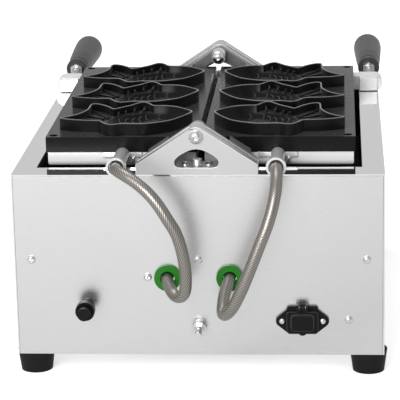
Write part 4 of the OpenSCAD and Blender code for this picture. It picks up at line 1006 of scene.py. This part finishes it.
def scale_tree():
    """Crescents on points, laid on the surface by the attribute lie."""
    tree, values = new_tree("scales", Size="Float", Wire="Float", Start="Float", Finish="Material")
    crescent = tree.nodes.new("GeometryNodeCurveArc")
    crescent.inputs["Resolution"].default_value = SCALE_POINTS
    crescent.inputs["Sweep Angle"].default_value = SCALE_SWEEP
    lie = tree.nodes.new("GeometryNodeInputNamedAttribute")
    lie.data_type = "FLOAT_VECTOR"
    lie.inputs["Name"].default_value = "lie"
    align = tree.nodes.new("FunctionNodeAlignRotationToVector")
    align.axis = "Z"
    spread = tree.nodes.new("GeometryNodeInstanceOnPoints")
    link_nodes(
        tree,
        (values["Size"], crescent.inputs["Radius"]),
        (values["Start"], crescent.inputs["Start Angle"]),
        (lie.outputs["Attribute"], align.inputs["Vector"]),
        (values["Geometry"], spread.inputs["Points"]),
        (wire_along(tree, crescent.outputs["Curve"], values["Wire"], SCALE_SIDES), spread.inputs["Instance"]),
        (align.outputs["Rotation"], spread.inputs["Rotation"]),
    )
    end_tree(tree, spread.outputs["Instances"], values["Finish"])
    return tree


scales = scale_tree()
for side, facing in (("left", math.pi), ("right", 0)):
    points = bpy.data.meshes.new(f"{side}_scale_points")
    points.from_pydata([place for place, _ in scale_points[side]], [], [])
    lie_values = points.attributes.new("lie", "FLOAT_VECTOR", "POINT")
    for item, (_, normal) in zip(lie_values.data, scale_points[side]):
        item.vector = normal
    piece = grown(f"{side}_fish_scales", points, scales, Size=SCALE_SIZE, Wire=SCALE_WIRE,
                  Start=facing - SCALE_SWEEP / 2, Finish=rubbed_coating)
    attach(piece, f"{side}_plate")
    print(piece.name, len(piece.data.polygons), "faces")

# %% [markdown]
# ### Gills
# One larger curve behind each head marks the gill. A bent wire could be set in by hand, but this one is long enough to
# follow the bowl's hollow. So a ray is dropped at each of its points, and the wire is grown along the line they make.

# %% Grow the gills
# Where the curve's ends are along a fish and how far it bulges, its middle across a fish and its half height, as shares
GILL_PLACE, GILL_BULGE, GILL_MIDDLE, GILL_HALF = 0.165, 0.055, 0.47, 0.24
GILL_ANGLE, GILL_STEPS = 80, 14
GILL_WIRE, GILL_SIDES = 1.2 * MM, 8


def bead_tree():
    """A round wire along the edges of a mesh."""
    tree, values = new_tree("bead", Wire="Float", Finish="Material")
    line = tree.nodes.new("GeometryNodeMeshToCurve")
    link_nodes(tree, (values["Geometry"], line.inputs["Mesh"]))
    end_tree(tree, wire_along(tree, line.outputs["Curve"], values["Wire"], GILL_SIDES), values["Finish"])
    return tree


beads = bead_tree()
for side, way in (("left", -1), ("right", 1)):
    places, edges = [], []
    for fish in range(FISH_COUNT):
        for k in range(GILL_STEPS + 1):
            angle = math.radians(-GILL_ANGLE + 2 * GILL_ANGLE * k / GILL_STEPS)
            x = way * (FISH_START + (GILL_PLACE + GILL_BULGE * math.cos(angle)) * FISH_REACH)
            s = FISH_REAR + FISH_STEP * fish + (GILL_MIDDLE + GILL_HALF * math.sin(angle)) * FISH_WIDTH
            places.append(dropped(plates[side], x, s)[0])
            if k:
                edges.append((len(places) - 2, len(places) - 1))
    lines = bpy.data.meshes.new(f"{side}_gill_lines")
    lines.from_pydata(places, edges, [])
    piece = grown(f"{side}_fish_gills", lines, beads, Wire=GILL_WIRE, Finish=rubbed_coating)
    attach(piece, f"{side}_plate")
    print(piece.name, len(piece.data.polygons), "faces, heights:", sorted({round(p.z / MM) for p in places}))

# %% [markdown]
# ## Threads
# The earth stud, the neck of the safety cut-out and the two handle studs are threaded.
# A thread is one ridge that climbs round its rod. Plain rings would look the same from afar, but a spiral with a
# three-sided wire is as simple, and right. It sinks a little into the rod, so that no gap shows between them.

# %% Grow the threads
RIDGE, RIDGE_SIDES, TURN_POINTS = 0.42 * MM, 3, 20
# Name, solid it is cut on, finish, place of the start, direction, and radius, pitch and length in millimetres
THREADS = (
    ("earth_stud_thread", "earth_stud", plated_steel, (0, -16, 51.05), -1, 2.85, 1.0, 9),
    ("reset_neck_thread", "reset_body", black_plastic, (-111, -1, 74.4), -1, 5.85, 1.5, 15),
    ("left_handle_thread", "left_handle_stud", plated_steel, (-172.9, 422, 217), 1, 3.85, 1.25, 19),
    ("right_handle_thread", "right_handle_stud", plated_steel, (172.9, 422, 217), 1, 3.85, 1.25, 19),
)


def thread_tree():
    """One ridge that climbs round a rod."""
    tree, values = new_tree("thread", Radius="Float", Turns="Float", Length="Float", Ridge="Float", Finish="Material")
    spiral = tree.nodes.new("GeometryNodeCurveSpiral")
    spiral.inputs["Resolution"].default_value = TURN_POINTS
    link_nodes(
        tree,
        (values["Radius"], spiral.inputs["Start Radius"]),
        (values["Radius"], spiral.inputs["End Radius"]),
        (values["Turns"], spiral.inputs["Rotations"]),
        (values["Length"], spiral.inputs["Height"]),
    )
    end_tree(tree, wire_along(tree, spiral.outputs["Curve"], values["Ridge"], RIDGE_SIDES), values["Finish"])
    return tree


threads = thread_tree()
for name, node_name, finish, start, way, radius, pitch, length in THREADS:
    piece = grown(name, bpy.data.meshes.new(name), threads, Radius=radius * MM, Turns=length / pitch,
                  Length=length * MM, Ridge=RIDGE, Finish=finish)
    lay_down = Matrix.Rotation(math.radians(-90 * way), 4, "X")
    piece.data.transform(Matrix.Translation(spot(*start)) @ lay_down)
    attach(piece, body_of[node_name])
    print(name, len(piece.data.polygons), "faces")

# %% [markdown]
# ## Marks on the operator's side
# The dials have plain numbers, the knobs a white pointer line, and the rocker a line and a ring for on and off.
# Ink has almost no thickness. It could be a picture on the face, but a mesh stays sharp in any view, so each mark is
# flat text turned into a mesh, a few hundredths of a millimetre thick.
# A ray finds the face that a mark lies on, so the marks on the slanted rocker lie flat on it.

# %% Lay a mark on a face
# How far the ink stands out, and a place before the operator's side from which a ray starts, in millimetres
INK, BEFORE_FRONT = 0.04, 700
UP = Vector((0, 0, 1))


def text_mesh(words, size):
    """Flat text as a mesh, in metres."""
    curve = bpy.data.curves.new("words", "FONT")
    curve.body = words
    curve.size = size * MM
    curve.extrude = INK * MM
    curve.align_x, curve.align_y = "CENTER", "CENTER"
    holder = bpy.data.objects.new("words", curve)
    bpy.context.scene.collection.objects.link(holder)
    graph = bpy.context.evaluated_depsgraph_get()
    mesh = bpy.data.meshes.new_from_object(holder.evaluated_get(graph))
    bpy.data.objects.remove(holder)
    return mesh


def lay_on(mesh, surface, x, z):
    """Lays a mark on the face that a ray from the operator's side meets."""
    place, normal, _, _ = surface.ray_cast(spot(x, BEFORE_FRONT, z), Vector((0, -1, 0)))
    rise = (UP - normal * UP.dot(normal)).normalized()
    turn = Matrix((rise.cross(normal), rise, normal)).transposed().to_4x4()
    mesh.transform(Matrix.Translation(place) @ turn)
    return mesh


def printed(name, meshes, finish, node_name):
    """Joins marks to one piece that rides on a solid's body."""
    shape = bmesh.new()
    for mesh in meshes:
        shape.from_mesh(mesh)
    mesh = bpy.data.meshes.new(name)
    shape.to_mesh(mesh)
    shape.free()
    piece = bpy.data.objects.new(name, mesh)
    bpy.context.scene.collection.objects.link(piece)
    piece.data.materials.append(finish)
    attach(piece, body_of[node_name])
    return piece


print("ink:", INK, "mm")

# %% Print the dials and the rocker
DIAL_X, DIAL_Z, NUMBER_RADIUS = 95, 107.1, 35.5
DIALS = (("thermostat", 1, ("0", "50", "100", "150", "200", "250")), ("timer", -1, ("0", "1", "2", "3", "4", "5")))
# Direction of the first number and the step to the next, in degrees, and the sizes of the marks in millimetres
FIRST_ANGLE, ANGLE_STEP = 150, 60
NUMBER_SIZE, POINTER_SIZE, ROCKER_SIZE = 6, 9, 7
POINTER_RISE = 11
ROCKER_MARKS = (("I", 5.5), ("O", -5.5))

numbers = []
front_face = surface_of("front_panel")
for dial_name, side, labels in DIALS:
    for k, label in enumerate(labels):
        angle = math.radians(FIRST_ANGLE - ANGLE_STEP * k)
        x, z = side * DIAL_X + NUMBER_RADIUS * math.sin(angle), DIAL_Z + NUMBER_RADIUS * math.cos(angle)
        numbers.append(lay_on(text_mesh(label, NUMBER_SIZE), front_face, x, z))
    knob_name = f"{dial_name}_knob"
    pointer = lay_on(text_mesh("|", POINTER_SIZE), surface_of(knob_name), side * DIAL_X, DIAL_Z + POINTER_RISE)
    printed(f"{dial_name}_pointer", [pointer], print_white, knob_name)
printed("dial_numbers", numbers, print_black, "front_panel")
rocker = surface_of("switch_rocker")
rocker_marks = [lay_on(text_mesh(mark, ROCKER_SIZE), rocker, 0, DIAL_Z + rise) for mark, rise in ROCKER_MARKS]
printed("rocker_marks", rocker_marks, print_white, "switch_rocker")
print("numbers:", len(numbers))
